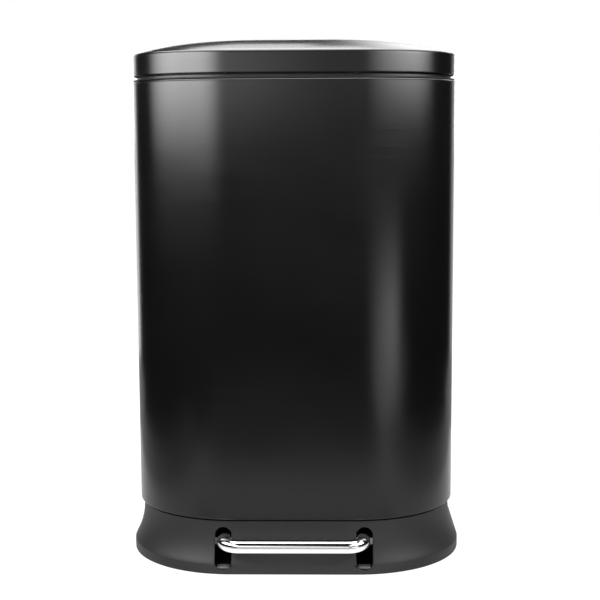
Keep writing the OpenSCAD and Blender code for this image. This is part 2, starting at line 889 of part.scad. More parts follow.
module damper_cap() {
    plug_z = damper_top_z - cap_plug_l;
    color("#151515") place() difference() {
        union() {
            rod_z(damper_top_z, damper_top_z + cap_t, damper_x, damper_y, damper_r);
            rod_z(plug_z, damper_top_z, damper_x, damper_y, damper_r - damper_wall - snug);
        }
        rod_z(plug_z - cut, damper_top_z + cap_t + cut, damper_x, damper_y, damper_rod_r + running);
    }
}

module damper_piston() {
    color("silver") place() {
        rod_z(piston_z, piston_z + piston_h, damper_x, damper_y, damper_r - damper_wall - running);
        rod_z(piston_z + piston_h, arm_z + arm_h + nut_h, damper_x, damper_y, damper_rod_r);
    }
}

module damper_arm() {
    color("#2b2b2d") place() difference() {
        union() {
            rod_z(arm_z, arm_z + arm_h, 0, rod_y, arm_r);
            rod_z(arm_z, arm_z + arm_h, damper_x, damper_y, arm_r);
            block([0, rod_y - arm_bar_front, arm_z], [damper_x, rod_y + arm_bar_rear, arm_z + arm_h]);
        }
        rod_z(arm_z - cut, arm_z + arm_h + cut, 0, rod_y, rod_r + snug);
        rod_z(arm_z - cut, arm_z + arm_h + cut, damper_x, damper_y, damper_rod_r + snug);
        rod_y_way(rod_y - arm_r - cut, rod_y, 0, arm_z + arm_h / 2, arm_screw_r + snug);
    }
}

module damper_nut() {
    color("silver") place() difference() {
        translate([damper_x, damper_y, arm_z + arm_h]) cylinder(h = nut_h, r = nut_r, $fn = 6);
        rod_z(arm_z + arm_h - cut, arm_z + arm_h + nut_h + cut, damper_x, damper_y, damper_rod_r + snug);
    }
}

module arm_screw() {
    color("silver") place() {
        rod_y_way(rod_y - arm_r - arm_screw_head_h, rod_y - arm_r, 0, arm_z + arm_h / 2, arm_screw_head_r);
        rod_y_way(rod_y - arm_r, rod_y - rod_r - clear, 0, arm_z + arm_h / 2, arm_screw_r);
    }
}

// ---------------------------------------------------------------- Bucket

module bucket_profile() {
    wall_top = -rim_w;
    wall_low = -rim_w - bucket_lean;
    polygon([
        [wall_low - bucket_wall, bucket_z],
        [wall_low, bucket_z],
        [wall_top, bucket_top_z],
        [wall_top - bucket_wall, bucket_top_z]
    ]);
    translate([wall_top - bucket_wall, bucket_top_z - bucket_wall])
        square([rim_w + bucket_wall, bucket_wall]);
    translate([-bucket_wall, bucket_top_z - rim_d]) square([bucket_wall, rim_d]);
}

module hand_hole() {
    x0 = bucket_w / 2 - rim_w - bucket_lean;
    x1 = bucket_w / 2 + cut;
    r = grip_h / 2;
    mid_y = (bucket_front_y + bucket_front_r + bucket_back_y - bucket_back_r) / 2;
    run = grip_l / 2 - r;
    rod_x(x0, x1, mid_y - run, grip_z + r, r);
    rod_x(x0, x1, mid_y + run, grip_z + r, r);
    block([x0, mid_y - run, grip_z], [x1, mid_y + run, grip_z + grip_h]);
}

module inner_bucket() {
    color("#2e2f31") place() difference() {
        union() {
            round_bucket() bucket_profile();
            translate([0, 0, bucket_z + bucket_foot]) linear_extrude(bucket_wall)
                bucket_plan(-rim_w - bucket_lean - bucket_wall / 2);
        }
        both_sides() hand_hole();
    }
}

// ---------------------------------------------------------------- Lid

// Points round the can's outline, grown by g
function corner_points(x, y, r, from) =
    [for (i = [0:corner_steps]) let (a = from + 90 * i / corner_steps) [x + r * cos(a), y + r * sin(a)]];

function plan_points(g) = concat(
    corner_points(can_w / 2 - front_corner_r, front_y + front_corner_r, front_corner_r + g, -90),
    corner_points(can_w / 2 - rear_corner_r, back_y - rear_corner_r, rear_corner_r + g, 0),
    corner_points(rear_corner_r - can_w / 2, back_y - rear_corner_r, rear_corner_r + g, 90),
    corner_points(front_corner_r - can_w / 2, front_y + front_corner_r, front_corner_r + g, 180)
);

// The outline grown by g, drawn in to a share of its size, at height z
function level(g, share, z) = [for (p = plan_points(g)) [p[0] * share, p[1] * share, z]];

// Levels of the lid's surface from the skirt's lower edge up, moved inwards by inset
function lid_levels(inset) = concat(
    [level(-lid_in - inset, 1, lid_z)],
    [for (i = [0:edge_steps])
        let (turn = edge_turn * i / edge_steps, r = lid_edge_r - inset)
        level(-lid_in - inset - r * (1 - cos(turn)), 1, skirt_top_z - lid_edge_r + r * sin(turn))],
    [for (i = [1:dome_steps])
        let (share = 1 - pow(i / (dome_steps + 1), dome_spacing))
        level(-lid_in - lid_edge_r * (1 - cos(edge_turn)), share,
              skirt_top_z - edge_drop - inset + (dome_h + edge_drop) * (1 - pow(share, dome_power)))]
);

// Two triangles for each side between one level and the next
function strip(low, high, count) =
    [for (i = [0:count - 1], half = [0, 1]) let (j = (i + 1) % count)
        half == 0 ? [low + i, high + i, high + j] : [low + i, high + j, low + j]];

function fan(ring, tip, count) = [for (i = [0:count - 1]) [ring + i, tip, ring + (i + 1) % count]];

function turned(face) = [face[0], face[2], face[1]];

// Pressed cover: outer and inner surfaces, joined round the skirt's lower edge
module lid_shell() {
    outer = lid_levels(0);
    inner = lid_levels(sheet_t);
    count = len(outer[0]);
    levels = len(outer);
    outer_tip = 2 * levels * count;
    polyhedron(
        points = concat(
            [for (ring = outer, p = ring) p],
            [for (ring = inner, p = ring) p],
            [[0, 0, skirt_top_z + dome_h], [0, 0, skirt_top_z + dome_h - sheet_t]]
        ),
        faces = concat(
            [for (k = [0:levels - 2], f = strip(k * count, (k + 1) * count, count)) f],
            fan((levels - 1) * count, outer_tip, count),
            [for (k = [levels:2 * levels - 2], f = strip(k * count, (k + 1) * count, count)) turned(f)],
            [for (f = fan((2 * levels - 1) * count, outer_tip + 1, count)) turned(f)],
            [for (f = strip(0, levels * count, count)) turned(f)]
        )
    );
}

module lid_cover() {
    color("#1c1c1e") place() difference() {
        lid_shell();
        block([-lid_notch_w / 2, back_y - lid_notch_d, lid_z - cut],
              [lid_notch_w / 2, back_y + cut, lid_z + lid_notch_h]);
    }
}

module liner_profile() {
    translate([-lip_in - liner_t, flange_z]) square([lip_in + liner_t - liner_out, liner_t]);
    translate([-liner_out - liner_t, flange_z]) square([liner_t, liner_rise]);
    translate([-lip_in - liner_t, flange_z - lip_drop])
        square([liner_t, panel_z + liner_t - flange_z + lip_drop]);
}

module leaf_screw_places() {
    for (x = [-leaf_screw_x, leaf_screw_x], y = leaf_screw_y)
        translate([x, y, 0]) children();
}

module lid_liner() {
    color("#181818") place() difference() {
        union() {
            round_can() liner_profile();
            translate([0, 0, panel_z]) linear_extrude(liner_t) can_plan(-lip_in - liner_t / 2);
            leaf_screw_places() rod_z(panel_z, panel_z + leaf_boss_h, 0, 0, boss_r);
        }
        block([-lid_notch_w / 2, back_y - liner_notch_d, flange_z - lip_drop - cut],
              [lid_notch_w / 2, back_y + cut, panel_z]);
        leaf_screw_places() rod_z(panel_z - cut, panel_z + leaf_boss_h - cut, 0, 0, screw_r + snug);
        for (p = bumper_places)
            both_sides() rod_z(flange_z - cut, flange_z + liner_t + cut, p[0], p[1], bumper_r / 2 + snug);
    }
}

module crank_outline() {
    translate([crank_y, crank_z]) circle(r = crank_boss_r);
    polygon([
        [crank_y - crank_boss_r + tuck, crank_z],
        [crank_y + crank_boss_r - tuck, crank_z],
        [crank_y + crank_boss_r - tuck, panel_z - 2 * leaf_t],
        [leaf_back_y, panel_z - cut],
        [crank_y - crank_boss_r - crank_root, panel_z - cut]
    ]);
}

module hinge_leaf() {
    color("#8f9194") place() difference() {
        union() {
            block([-leaf_w / 2, leaf_front_y, panel_z - leaf_t], [leaf_w / 2, leaf_back_y, panel_z]);
            both_sides() {
                block([knuckle_x, leaf_back_y - knuckle_arm_l, hinge_z - knuckle_r + tuck],
                      [knuckle_x + knuckle_w, hinge_y, panel_z]);
                rod_x(knuckle_x, knuckle_x + knuckle_w, hinge_y, hinge_z, knuckle_r);
                side_plate(crank_gap, crank_t) crank_outline();
            }
        }
        rod_x(-leaf_w, leaf_w, hinge_y, hinge_z, hinge_pin_r + running);
        rod_x(-leaf_w, leaf_w, crank_y, crank_z, crank_pin_r + snug);
        leaf_screw_places() rod_z(panel_z - leaf_t - cut, panel_z + cut, 0, 0, screw_r + clear);
    }
}

module leaf_screws() {
    color("silver") place() leaf_screw_places() screw_up(0, 0, panel_z - leaf_t, leaf_screw_l);
}

module crank_pin() {
    x = crank_pin_l / 2;
    color("silver") place() {
        rod_x(-x, x, crank_y, crank_z, crank_pin_r);
        both_sides() rod_x(x, x + crank_head_t, crank_y, crank_z, crank_pin_r + crank_head_step);
    }
}

module lid_bumpers() {
    color("#3c3c3c") place() for (p = bumper_places)
        both_sides() {
            rod_z(ring_top_z + clear, flange_z, p[0], p[1], bumper_r);
            rod_z(flange_z, flange_z + liner_t, p[0], p[1], bumper_r / 2);
        }
}

// ---------------------------------------------------------------- Lift rod

module lift_rod() {
    color("silver") place() rod_z(rod_low_z, rod_high_z, 0, rod_y, rod_r);
}

module rod_head() {
    color("#2b2b2d") place() difference() {
        block([-head_w / 2, rod_y - head_d / 2, crank_z - head_down],
              [head_w / 2, rod_y + head_d / 2, crank_z + head_up]);
        pin_slot(rod_y, crank_z, crank_pin_r + crank_sag, crank_slide + clear, -head_w, head_w);
        rod_z(crank_z - head_down - cut, rod_high_z, 0, rod_y, rod_r + snug);
    }
}

module rod_foot() {
    color("#2b2b2d") place() difference() {
        block([-foot_block_w / 2, lift_y - foot_block_front, lift_pin_z - foot_block_down],
              [foot_block_w / 2, rod_y + foot_block_rear, lift_pin_z + foot_block_up]);
        pin_slot(lift_y, lift_pin_z, lift_pin_r + clear, lever_slide + clear, -foot_block_w, foot_block_w);
        rod_z(rod_low_z, lift_pin_z + foot_block_up + cut, 0, rod_y, rod_r + snug);
    }
}

// ---------------------------------------------------------------- Pedal

module tube_section(r) {
    difference() {
        circle(r = r);
        circle(r = tube_r - tube_wall);
    }
}

module pedal_bar() {
    color("#d9dadc") place() difference() {
        both_sides() {
            translate([0, bar_y, bar_z]) rotate([0, 90, 0])
                linear_extrude(arm_x - bend_r) tube_section(tube_r);
            translate([arm_x - bend_r, bar_y + bend_r, bar_z]) rotate([0, 0, -90])
                rotate_extrude(angle = 90) translate([bend_r, 0]) tube_section(tube_r);
            translate([arm_x, bar_y + bend_r, bar_z]) rotate([-90, 0, 0])
                linear_extrude(tube_end_y - bar_y - bend_r) tube_section(tube_r);
        }
        pedal_screw_places() rod_z(bar_z - tube_r - cut, bar_z, 0, 0, tube_screw_r + snug);
    }
}

module pedal_plugs() {
    color("#151515") place() both_sides() {
        rod_y_way(tube_end_y - plug_depth, tube_end_y, arm_x, bar_z, tube_r - tube_wall - snug);
        rod_y_way(tube_end_y, tube_end_y + plug_l, arm_x, bar_z, tube_r);
    }
}

module pedal_screw_places() {
    for (x = [-arm_x, arm_x], y = [cross_y + tube_screw_inset, cross_y + cross_d - tube_screw_inset])
        translate([x, y, 0]) children();
}

// Side view of a lever cheek, from the cross plate back to the lift pin
module cheek_outline() {
    polygon([
        [cross_y, cross_top_z - cut],
        [cross_y + cross_d, cross_top_z - cut],
        [lift_pin_y + cheek_foot, lift_pin_z + cheek_top],
        [lift_pin_y + cheek_foot, lift_pin_z - cheek_foot],
        [axle_y, axle_z - cheek_drop],
        [cross_y, cross_top_z - cross_lip]
    ]);
}

// Side view of the web that joins the cheeks just below their upper edges
module web_outline() {
    y0 = cross_y + cross_d;
    slope = (cross_top_z - lift_pin_z - cheek_top) / (lift_pin_y + cheek_foot - y0);
    top = cross_top_z - lever_t - web_drop;
    low = top - slope * (web_end_y - y0);
    polygon([[y0, top - lever_t], [y0, top], [web_end_y, low], [web_end_y, low - lever_t]]);
}

module pedal_lever() {
    color("#a8aaad") place() difference() {
        union() {
            block([-cross_w / 2, cross_y, cross_low_z],
                  [cross_w / 2, cross_y + cross_d, cross_top_z]);
            block([-cross_w / 2, cross_y, cross_top_z - cross_lip],
                  [cross_w / 2, cross_y + lever_t, cross_top_z - cut]);
            both_sides() side_plate(cheek_x, lever_t) cheek_outline();
            side_plate(-cheek_x - cut, 2 * (cheek_x + cut)) web_outline();
        }
        rod_x(-can_w / 2, can_w / 2, axle_y, axle_z, axle_r + snug);
        rod_x(-can_w / 2, can_w / 2, lift_pin_y, lift_pin_z, lift_pin_r + snug);
        pedal_screw_places() rod_z(cross_low_z - cut, cross_top_z + cut, 0, 0, tube_screw_r + snug);
    }
}

module pedal_screws() {
    color("silver") place() pedal_screw_places() {
        rod_z(cross_low_z - tube_screw_head_h, cross_low_z, 0, 0, tube_screw_head_r);
        rod_z(cross_low_z, cross_top_z + tube_screw_bite, 0, 0, tube_screw_r);
    }
}

module pedal_axle() {
    color("silver") place() rod_x(-axle_l / 2, axle_l / 2, axle_y, axle_z, axle_r);
}

module axle_clips() {
    x = block_spacing / 2 + block_w / 2 + clear;
    color("#5a5c5e") place() both_sides() difference() {
        rod_x(x, x + clip_t, axle_y, axle_z, clip_r);
        rod_x(x - cut, x + clip_t + cut, axle_y, axle_z, axle_r + snug);
    }
}

module lift_pin() {
    x = spine_w / 2 + clip_t + pin_tail;
    color("silver") place() rod_x(-x, x, lift_pin_y, lift_pin_z, lift_pin_r);
}

module lift_pin_clips() {
    x = spine_w / 2;
    color("#5a5c5e") place() both_sides() difference() {
        rod_x(x, x + clip_t, lift_pin_y, lift_pin_z, lift_pin_r + pin_clip_step);
        rod_x(x - cut, x + clip_t + cut, lift_pin_y, lift_pin_z, lift_pin_r + snug);
    }
}

body_shell();
body_floor();
top_ring();
base_skirt();
base_plate();
base_screws();
floor_screws();
rubber_feet();
pivot_blocks();
pivot_screws();
axle_bushes();
hinge_housing();
hinge_backplate();
hinge_screws();
hinge_pin();
hinge_pin_caps();
rod_bush();
damper_bracket();
damper_screws();
damper_tube();
damper_cap();
inner_bucket();
lid_cover();
lid_liner();
hinge_leaf();
leaf_screws();
crank_pin();
lid_bumpers();
lift_rod();
rod_head();
rod_foot();
damper_piston();
damper_arm();
damper_nut();
arm_screw();
pedal_bar();
pedal_plugs();
pedal_lever();
pedal_screws();
pedal_axle();
axle_clips();
lift_pin();
lift_pin_clips();
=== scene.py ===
import json
import math

import bmesh
import bpy
from mathutils import Euler, Matrix, Vector


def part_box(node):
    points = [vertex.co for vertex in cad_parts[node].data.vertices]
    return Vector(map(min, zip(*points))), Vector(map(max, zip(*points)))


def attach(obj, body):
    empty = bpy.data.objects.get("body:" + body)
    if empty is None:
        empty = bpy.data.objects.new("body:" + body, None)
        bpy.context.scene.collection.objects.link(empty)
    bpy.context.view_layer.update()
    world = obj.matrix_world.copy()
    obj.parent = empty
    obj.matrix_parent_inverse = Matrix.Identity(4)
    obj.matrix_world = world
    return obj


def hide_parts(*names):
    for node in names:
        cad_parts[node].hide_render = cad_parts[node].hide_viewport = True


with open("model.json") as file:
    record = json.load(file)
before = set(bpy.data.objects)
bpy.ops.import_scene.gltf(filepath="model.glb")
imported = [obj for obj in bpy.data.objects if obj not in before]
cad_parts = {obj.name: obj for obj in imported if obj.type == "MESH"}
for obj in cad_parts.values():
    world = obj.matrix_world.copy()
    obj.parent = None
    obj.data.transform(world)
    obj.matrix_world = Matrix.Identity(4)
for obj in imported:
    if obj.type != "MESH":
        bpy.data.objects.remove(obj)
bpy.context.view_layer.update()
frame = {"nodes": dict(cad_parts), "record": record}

# Lengths below are written in millimetres and turned into metres by MM.
MM = 0.001
WELD = 0.002 * MM     # Vertices nearer than this are one.
RUN_OUT = 3.0 * MM    # Short step next to a bend, which keeps the shading of the flat clean.


# ---------------------------------------------------------------- Modelling by hand

def let_go():
    """Leaves edit mode with nothing selected."""
    if bpy.context.mode != "OBJECT":
        bpy.ops.object.mode_set(mode="OBJECT")
    bpy.ops.object.select_all(action="DESELECT")


def take(piece):
    """Makes one piece the active and only selected one."""
    let_go()
    piece.select_set(True)
    bpy.context.view_layer.objects.active = piece


def start(name, add, **size):
    """Adds a primitive at its size and place, and opens it in edit mode."""
    let_go()
    add(**size)
    piece = bpy.context.active_object
    piece.name = name
    piece.data.name = name
    bpy.ops.object.transform_apply(location=True, rotation=True, scale=True)
    bpy.ops.object.mode_set(mode="EDIT")
    bpy.ops.mesh.select_mode(type="VERT")
    bpy.ops.mesh.select_all(action="SELECT")
    return piece


def pick(test, kind="VERT"):
    """Selects the vertices, edges or faces of the open mesh that pass a test on their place."""
    bpy.ops.mesh.select_mode(type=kind)
    mesh = bmesh.from_edit_mesh(bpy.context.active_object.data)
    parts = {"VERT": mesh.verts, "EDGE": mesh.edges, "FACE": mesh.faces}[kind]
    for part in parts:
        part.select_set(False)
    for part in parts:
        if test(part):
            part.select_set(True)
    mesh.select_flush_mode()
    bmesh.update_edit_mesh(bpy.context.active_object.data)


def middle(edge):
    return (edge.verts[0].co + edge.verts[1].co) / 2


def extrude(step):
    bpy.ops.mesh.extrude_region_move(TRANSFORM_OT_translate={"value": step})


def close_up():
    """Welds what meets and turns every face outwards."""
    bpy.ops.mesh.select_all(action="SELECT")
    bpy.ops.mesh.remove_doubles(threshold=WELD)
    bpy.ops.mesh.normals_make_consistent(inside=False)


def smooth(piece, angle=35):
    take(piece)
    bpy.ops.object.shade_smooth_by_angle(angle=math.radians(angle))


def weigh_normals(piece):
    """Lets the large faces set the shading, so that cut edges don't dull them."""
    apply(piece, "WEIGHTED_NORMAL", keep_sharp=True, weight=60)


def apply(piece, kind, **values):
    """Puts a modifier on a piece and applies it."""
    take(piece)
    modifier = piece.modifiers.new(kind.lower(), kind)
    for name, value in values.items():
        setattr(modifier, name, value)
    bpy.ops.object.modifier_apply(modifier=modifier.name)


def cut_away(piece, tool):
    """Cuts a tool's shape out of a piece and throws the tool away."""
    apply(piece, "BOOLEAN", operation="DIFFERENCE", object=tool, solver="EXACT")
    bpy.data.objects.remove(tool, do_unlink=True)


def arc(x, z, r, start_at, end_at, count):
    """Points of an arc in a profile, from one angle to another, in degrees."""
    turns = [math.radians(start_at + (end_at - start_at) * i / count) for i in range(count + 1)]
    return [(x + r * math.cos(t), z + r * math.sin(t)) for t in turns]


class Plan:
    """D-shaped outline seen from above: width, front, back and the radii of its corners."""

    def __init__(self, width, front, back, front_r, rear_r):
        self.half = width / 2
        self.front = front
        self.back = back
        self.front_r = front_r
        self.rear_r = rear_r


def straight(length, direction):
    """Extrudes the open profile along a flat side, with a short first and last step."""
    for part in (RUN_OUT, length - 2 * RUN_OUT, RUN_OUT):
        extrude((direction[0] * part, direction[1] * part, 0))


def corner(x, y, steps):
    """Spins the open profile round one corner of the plan."""
    bpy.ops.mesh.spin(steps=steps, angle=math.radians(90), center=(x, y, 0), axis=(0, 0, 1))


def draw(name, points):
    """Draws a chain of points as an open profile."""
    piece = start(name, bpy.ops.mesh.primitive_plane_add, size=MM, location=points[0])
    bpy.ops.mesh.merge(type="CENTER")
    for before, after in zip(points, points[1:]):
        extrude(Vector(after) - Vector(before))
    return piece


def carry_round(name, plan, profile, closed=True, front_steps=28, rear_steps=18):
    """Carries a profile once round a plan. In the profile x is the distance outside the plan."""
    points = [(0, plan.back + x * MM, z * MM) for x, z in profile]
    if closed:
        points.append(points[0])
    piece = draw(name, points)
    bpy.ops.mesh.select_all(action="SELECT")
    if closed:
        bpy.ops.mesh.remove_doubles(threshold=WELD)
    side_x, side_y = plan.half - plan.rear_r, plan.back - plan.rear_r
    front_x, front_y = plan.half - plan.front_r, plan.front + plan.front_r
    straight(side_x, (1, 0))
    corner(side_x, side_y, rear_steps)
    straight(side_y - front_y, (0, -1))
    corner(front_x, front_y, front_steps)
    straight(2 * front_x, (-1, 0))
    corner(-front_x, front_y, front_steps)
    straight(side_y - front_y, (0, 1))
    corner(-side_x, side_y, rear_steps)
    straight(side_x, (1, 0))
    close_up()
    return piece


def fill_loop(test):
    """Fills one open edge loop of the mesh with a face."""
    pick(lambda edge: edge.is_boundary and test(middle(edge)), "EDGE")
    bpy.ops.mesh.edge_face_add()


def bar(name, low, high, rounding, segments=3):
    """A block between two corners with its edges rounded."""
    low, high = Vector(low), Vector(high)
    piece = start(name, bpy.ops.mesh.primitive_cube_add, size=1, location=(low + high) / 2,
                  scale=high - low)
    bpy.ops.mesh.select_all(action="SELECT")
    if rounding:
        bpy.ops.mesh.bevel(offset=rounding, segments=segments, affect="EDGES")
    let_go()
    return piece


def capsule(name, low, high, depth_from, depth_to, along):
    """An upright or lying slot shape: a plane with fully rounded ends, extruded along X or Y."""
    (a0, z0), (a1, z1) = low, high
    piece = start(name, bpy.ops.mesh.primitive_plane_add, size=1, location=(0, 0, 0))
    bpy.ops.transform.resize(value=(a1 - a0, z1 - z0, 1))
    radius = min(a1 - a0, z1 - z0) / 2
    bpy.ops.mesh.select_all(action="SELECT")
    bpy.ops.mesh.bevel(offset=radius * 0.9995, segments=14, affect="VERTICES", clamp_overlap=False)
    bpy.ops.mesh.select_all(action="SELECT")
    extrude((0, 0, depth_to - depth_from))
    bpy.ops.mesh.select_all(action="SELECT")
    bpy.ops.mesh.normals_make_consistent(inside=False)
    let_go()
    # The shape was drawn lying down: x across, y up, z along the way through.
    across, up = (a0 + a1) / 2, (z0 + z1) / 2
    if along == "Y":
        turn = Matrix(((1, 0, 0), (0, 0, 1), (0, 1, 0)))
        place = Vector((across, depth_from, up))
    else:
        turn = Matrix(((0, 0, 1), (1, 0, 0), (0, 1, 0)))
        place = Vector((depth_from, across, up))
    piece.data.transform(Matrix.Translation(place) @ turn.to_4x4())
    take(piece)
    bpy.ops.object.mode_set(mode="EDIT")
    bpy.ops.mesh.select_all(action="SELECT")
    bpy.ops.mesh.normals_make_consistent(inside=False)
    let_go()
    return piece


def finer_copy(node, rounding=0.0, segments=2, angle=35):
    """A welded copy of a CAD node with its sharp edges broken."""
    source = frame["nodes"][node]
    let_go()
    piece = bpy.data.objects.new("fine_" + node, source.data.copy())
    bpy.context.scene.collection.objects.link(piece)
    take(piece)
    bpy.ops.object.mode_set(mode="EDIT")
    bpy.ops.mesh.select_all(action="SELECT")
    bpy.ops.mesh.customdata_custom_splitnormals_clear()
    bpy.ops.mesh.remove_doubles(threshold=WELD)
    bpy.ops.mesh.select_all(action="SELECT")
    bpy.ops.mesh.dissolve_limited(angle_limit=math.radians(0.6))
    let_go()
    if rounding:
        apply(piece, "BEVEL", width=rounding, segments=segments, limit_method="ANGLE",
              angle_limit=math.radians(50), harden_normals=False, use_clamp_overlap=True)
    smooth(piece, angle)
    weigh_normals(piece)
    finish_piece(piece, node)


def finish_piece(piece, *nodes):
    """Lets a piece stand for its CAD nodes, on their body and with their finish."""
    let_go()
    first = nodes[0]
    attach(piece, body_of[first])
    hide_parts(*nodes)
    piece.data.materials.clear()
    piece.data.materials.append(finish_for(first))


body_of = {node: body for body, nodes in frame["record"]["behaviour"]["bodies"].items()
           for node in nodes}
slot_of = {part["node"]: part["material_slot"] for part in frame["record"]["subparts"]}


# ---------------------------------------------------------------- Finishes

def group(name, inputs, outputs):
    """An empty node group with named inputs and outputs."""
    tree = bpy.data.node_groups.new(name, "ShaderNodeTree")
    for label, value in inputs:
        socket = tree.interface.new_socket(label, in_out="INPUT", socket_type="NodeSocketFloat")
        socket.default_value = value
    for label in outputs:
        tree.interface.new_socket(label, in_out="OUTPUT", socket_type="NodeSocketFloat")
    return tree


def add_node(tree, kind, **values):
    node = tree.nodes.new(kind)
    for name, value in values.items():
        if name in node.inputs:
            node.inputs[name].default_value = value
        else:
            setattr(node, name, value)
    return node


def calculate(tree, operation, first, second):
    """One Math node, fed by sockets or plain numbers."""
    node = tree.nodes.new("ShaderNodeMath")
    node.operation = operation
    for socket, value in zip(node.inputs, (first, second)):
        if isinstance(value, (int, float)):
            socket.default_value = value
        else:
            tree.links.new(value, socket)
    return node.outputs[0]


def noise(tree, coords, scale, detail=2.0, stretch=None):
    """A noise pattern of so many grains a metre, stretched if asked."""
    source = coords
    if stretch:
        mapping = add_node(tree, "ShaderNodeMapping", Scale=stretch)
        tree.links.new(coords, mapping.inputs["Vector"])
        source = mapping.outputs["Vector"]
    node = tree.nodes.new("ShaderNodeTexNoise")
    tree.links.new(source, node.inputs["Vector"])
    if isinstance(scale, (int, float)):
        node.inputs["Scale"].default_value = scale
    else:
        tree.links.new(scale, node.inputs["Scale"])
    node.inputs["Detail"].default_value = detail
    return node.outputs["Fac"]


def make_coating_grain():
    """Powder coat: fine orange peel over faint level rolling lines of the sheet."""
    tree = group("coating_grain", [("Grain Scale", 900.0), ("Lines", 0.3), ("Clouds", 0.5)],
                 ["Height", "Shade", "Gloss"])
    given = tree.nodes.new("NodeGroupInput")
    out = tree.nodes.new("NodeGroupOutput")
    coords = tree.nodes.new("ShaderNodeTexCoord").outputs["Object"]
    peel = noise(tree, coords, given.outputs["Grain Scale"], 3.0)
    rolled = noise(tree, coords, 1.0, 3.0, (7.0, 7.0, 620.0))
    lines = calculate(tree, "MULTIPLY", rolled, given.outputs["Lines"])
    height = calculate(tree, "ADD", peel, lines)
    clouds = noise(tree, coords, 9.0, 3.0)
    cloud_part = calculate(tree, "MULTIPLY", clouds, given.outputs["Clouds"])
    shade = calculate(tree, "ADD", calculate(tree, "MULTIPLY", peel, 0.5), cloud_part)
    gloss = calculate(tree, "ADD", calculate(tree, "MULTIPLY", rolled, 0.6), cloud_part)
    tree.links.new(height, out.inputs["Height"])
    tree.links.new(shade, out.inputs["Shade"])
    tree.links.new(gloss, out.inputs["Gloss"])
    return tree


def make_moulded_skin():
    """Spark-eroded skin of a moulding, with soft flow clouds."""
    tree = group("moulded_skin", [("Grain Scale", 1400.0), ("Clouds", 0.5)], ["Height", "Shade"])
    given = tree.nodes.new("NodeGroupInput")
    out = tree.nodes.new("NodeGroupOutput")
    coords = tree.nodes.new("ShaderNodeTexCoord").outputs["Object"]
    pits = noise(tree, coords, given.outputs["Grain Scale"], 2.0)
    flow = noise(tree, coords, 14.0, 3.0, (1.0, 1.0, 0.4))
    shade = calculate(tree, "ADD", calculate(tree, "MULTIPLY", pits, 0.5),
                      calculate(tree, "MULTIPLY", flow, given.outputs["Clouds"]))
    tree.links.new(pits, out.inputs["Height"])
    tree.links.new(shade, out.inputs["Shade"])
    return tree


def make_metal_lines():
    """Drawing or rolling lines of bare metal, with spangle or tarnish clouds."""
    tree = group("metal_lines", [("Across X", 40.0), ("Across Y", 40.0), ("Across Z", 900.0),
                                 ("Spangle", 0.5)], ["Height", "Shade"])
    given = tree.nodes.new("NodeGroupInput")
    out = tree.nodes.new("NodeGroupOutput")
    coords = tree.nodes.new("ShaderNodeTexCoord").outputs["Object"]
    scale = tree.nodes.new("ShaderNodeCombineXYZ")
    for label, socket in zip(("Across X", "Across Y", "Across Z"), scale.inputs):
        tree.links.new(given.outputs[label], socket)
    stretched = tree.nodes.new("ShaderNodeVectorMath")
    stretched.operation = "MULTIPLY"
    tree.links.new(coords, stretched.inputs[0])
    tree.links.new(scale.outputs[0], stretched.inputs[1])
    lines = noise(tree, stretched.outputs[0], 1.0, 3.0)
    cells = add_node(tree, "ShaderNodeTexVoronoi", Scale=130.0)
    tree.links.new(coords, cells.inputs["Vector"])
    bright = tree.nodes.new("ShaderNodeSeparateColor")
    tree.links.new(cells.outputs["Color"], bright.inputs["Color"])
    spangle = calculate(tree, "MULTIPLY", bright.outputs[0], given.outputs["Spangle"])
    shade = calculate(tree, "ADD", calculate(tree, "MULTIPLY", lines, 0.5), spangle)
    tree.links.new(lines, out.inputs["Height"])
    tree.links.new(shade, out.inputs["Shade"])
    return tree


COATING = make_coating_grain()
SKIN = make_moulded_skin()
LINES = make_metal_lines()


def material(name, dark, light, rough, effect, settings, bump, depth, metallic=0.0, **sockets):
    """A finish: two shades, a span of roughness and a bump, all driven by one effect group."""
    mat = bpy.data.materials.new(name)
    mat.use_nodes = True
    tree = mat.node_tree
    shader = tree.nodes["Principled BSDF"]
    shader.inputs["Metallic"].default_value = metallic
    for label, value in sockets.items():
        shader.inputs[label.replace("_", " ")].default_value = value
    pattern = tree.nodes.new("ShaderNodeGroup")
    pattern.node_tree = effect
    for label, value in settings.items():
        pattern.inputs[label].default_value = value
    tone = tree.nodes.new("ShaderNodeMix")
    tone.data_type = "RGBA"
    tone.inputs[6].default_value = (*dark, 1)
    tone.inputs[7].default_value = (*light, 1)
    tree.links.new(pattern.outputs["Shade"], tone.inputs[0])
    tree.links.new(tone.outputs[2], shader.inputs["Base Color"])
    spread = tree.nodes.new("ShaderNodeMapRange")
    spread.inputs["From Min"].default_value = 0.2
    spread.inputs["From Max"].default_value = 0.8
    spread.inputs["To Min"].default_value = rough[0]
    spread.inputs["To Max"].default_value = rough[1]
    gloss = pattern.outputs["Gloss"] if "Gloss" in pattern.outputs else pattern.outputs["Shade"]
    tree.links.new(gloss, spread.inputs["Value"])
    tree.links.new(spread.outputs[0], shader.inputs["Roughness"])
    rise = add_node(tree, "ShaderNodeBump", Strength=bump, Distance=depth)
    tree.links.new(pattern.outputs["Height"], rise.inputs["Height"])
    tree.links.new(rise.outputs[0], shader.inputs["Normal"])
    return mat


def grey(value, warm=0.0):
    return (value * (1 + warm), value, value * (1 - warm))


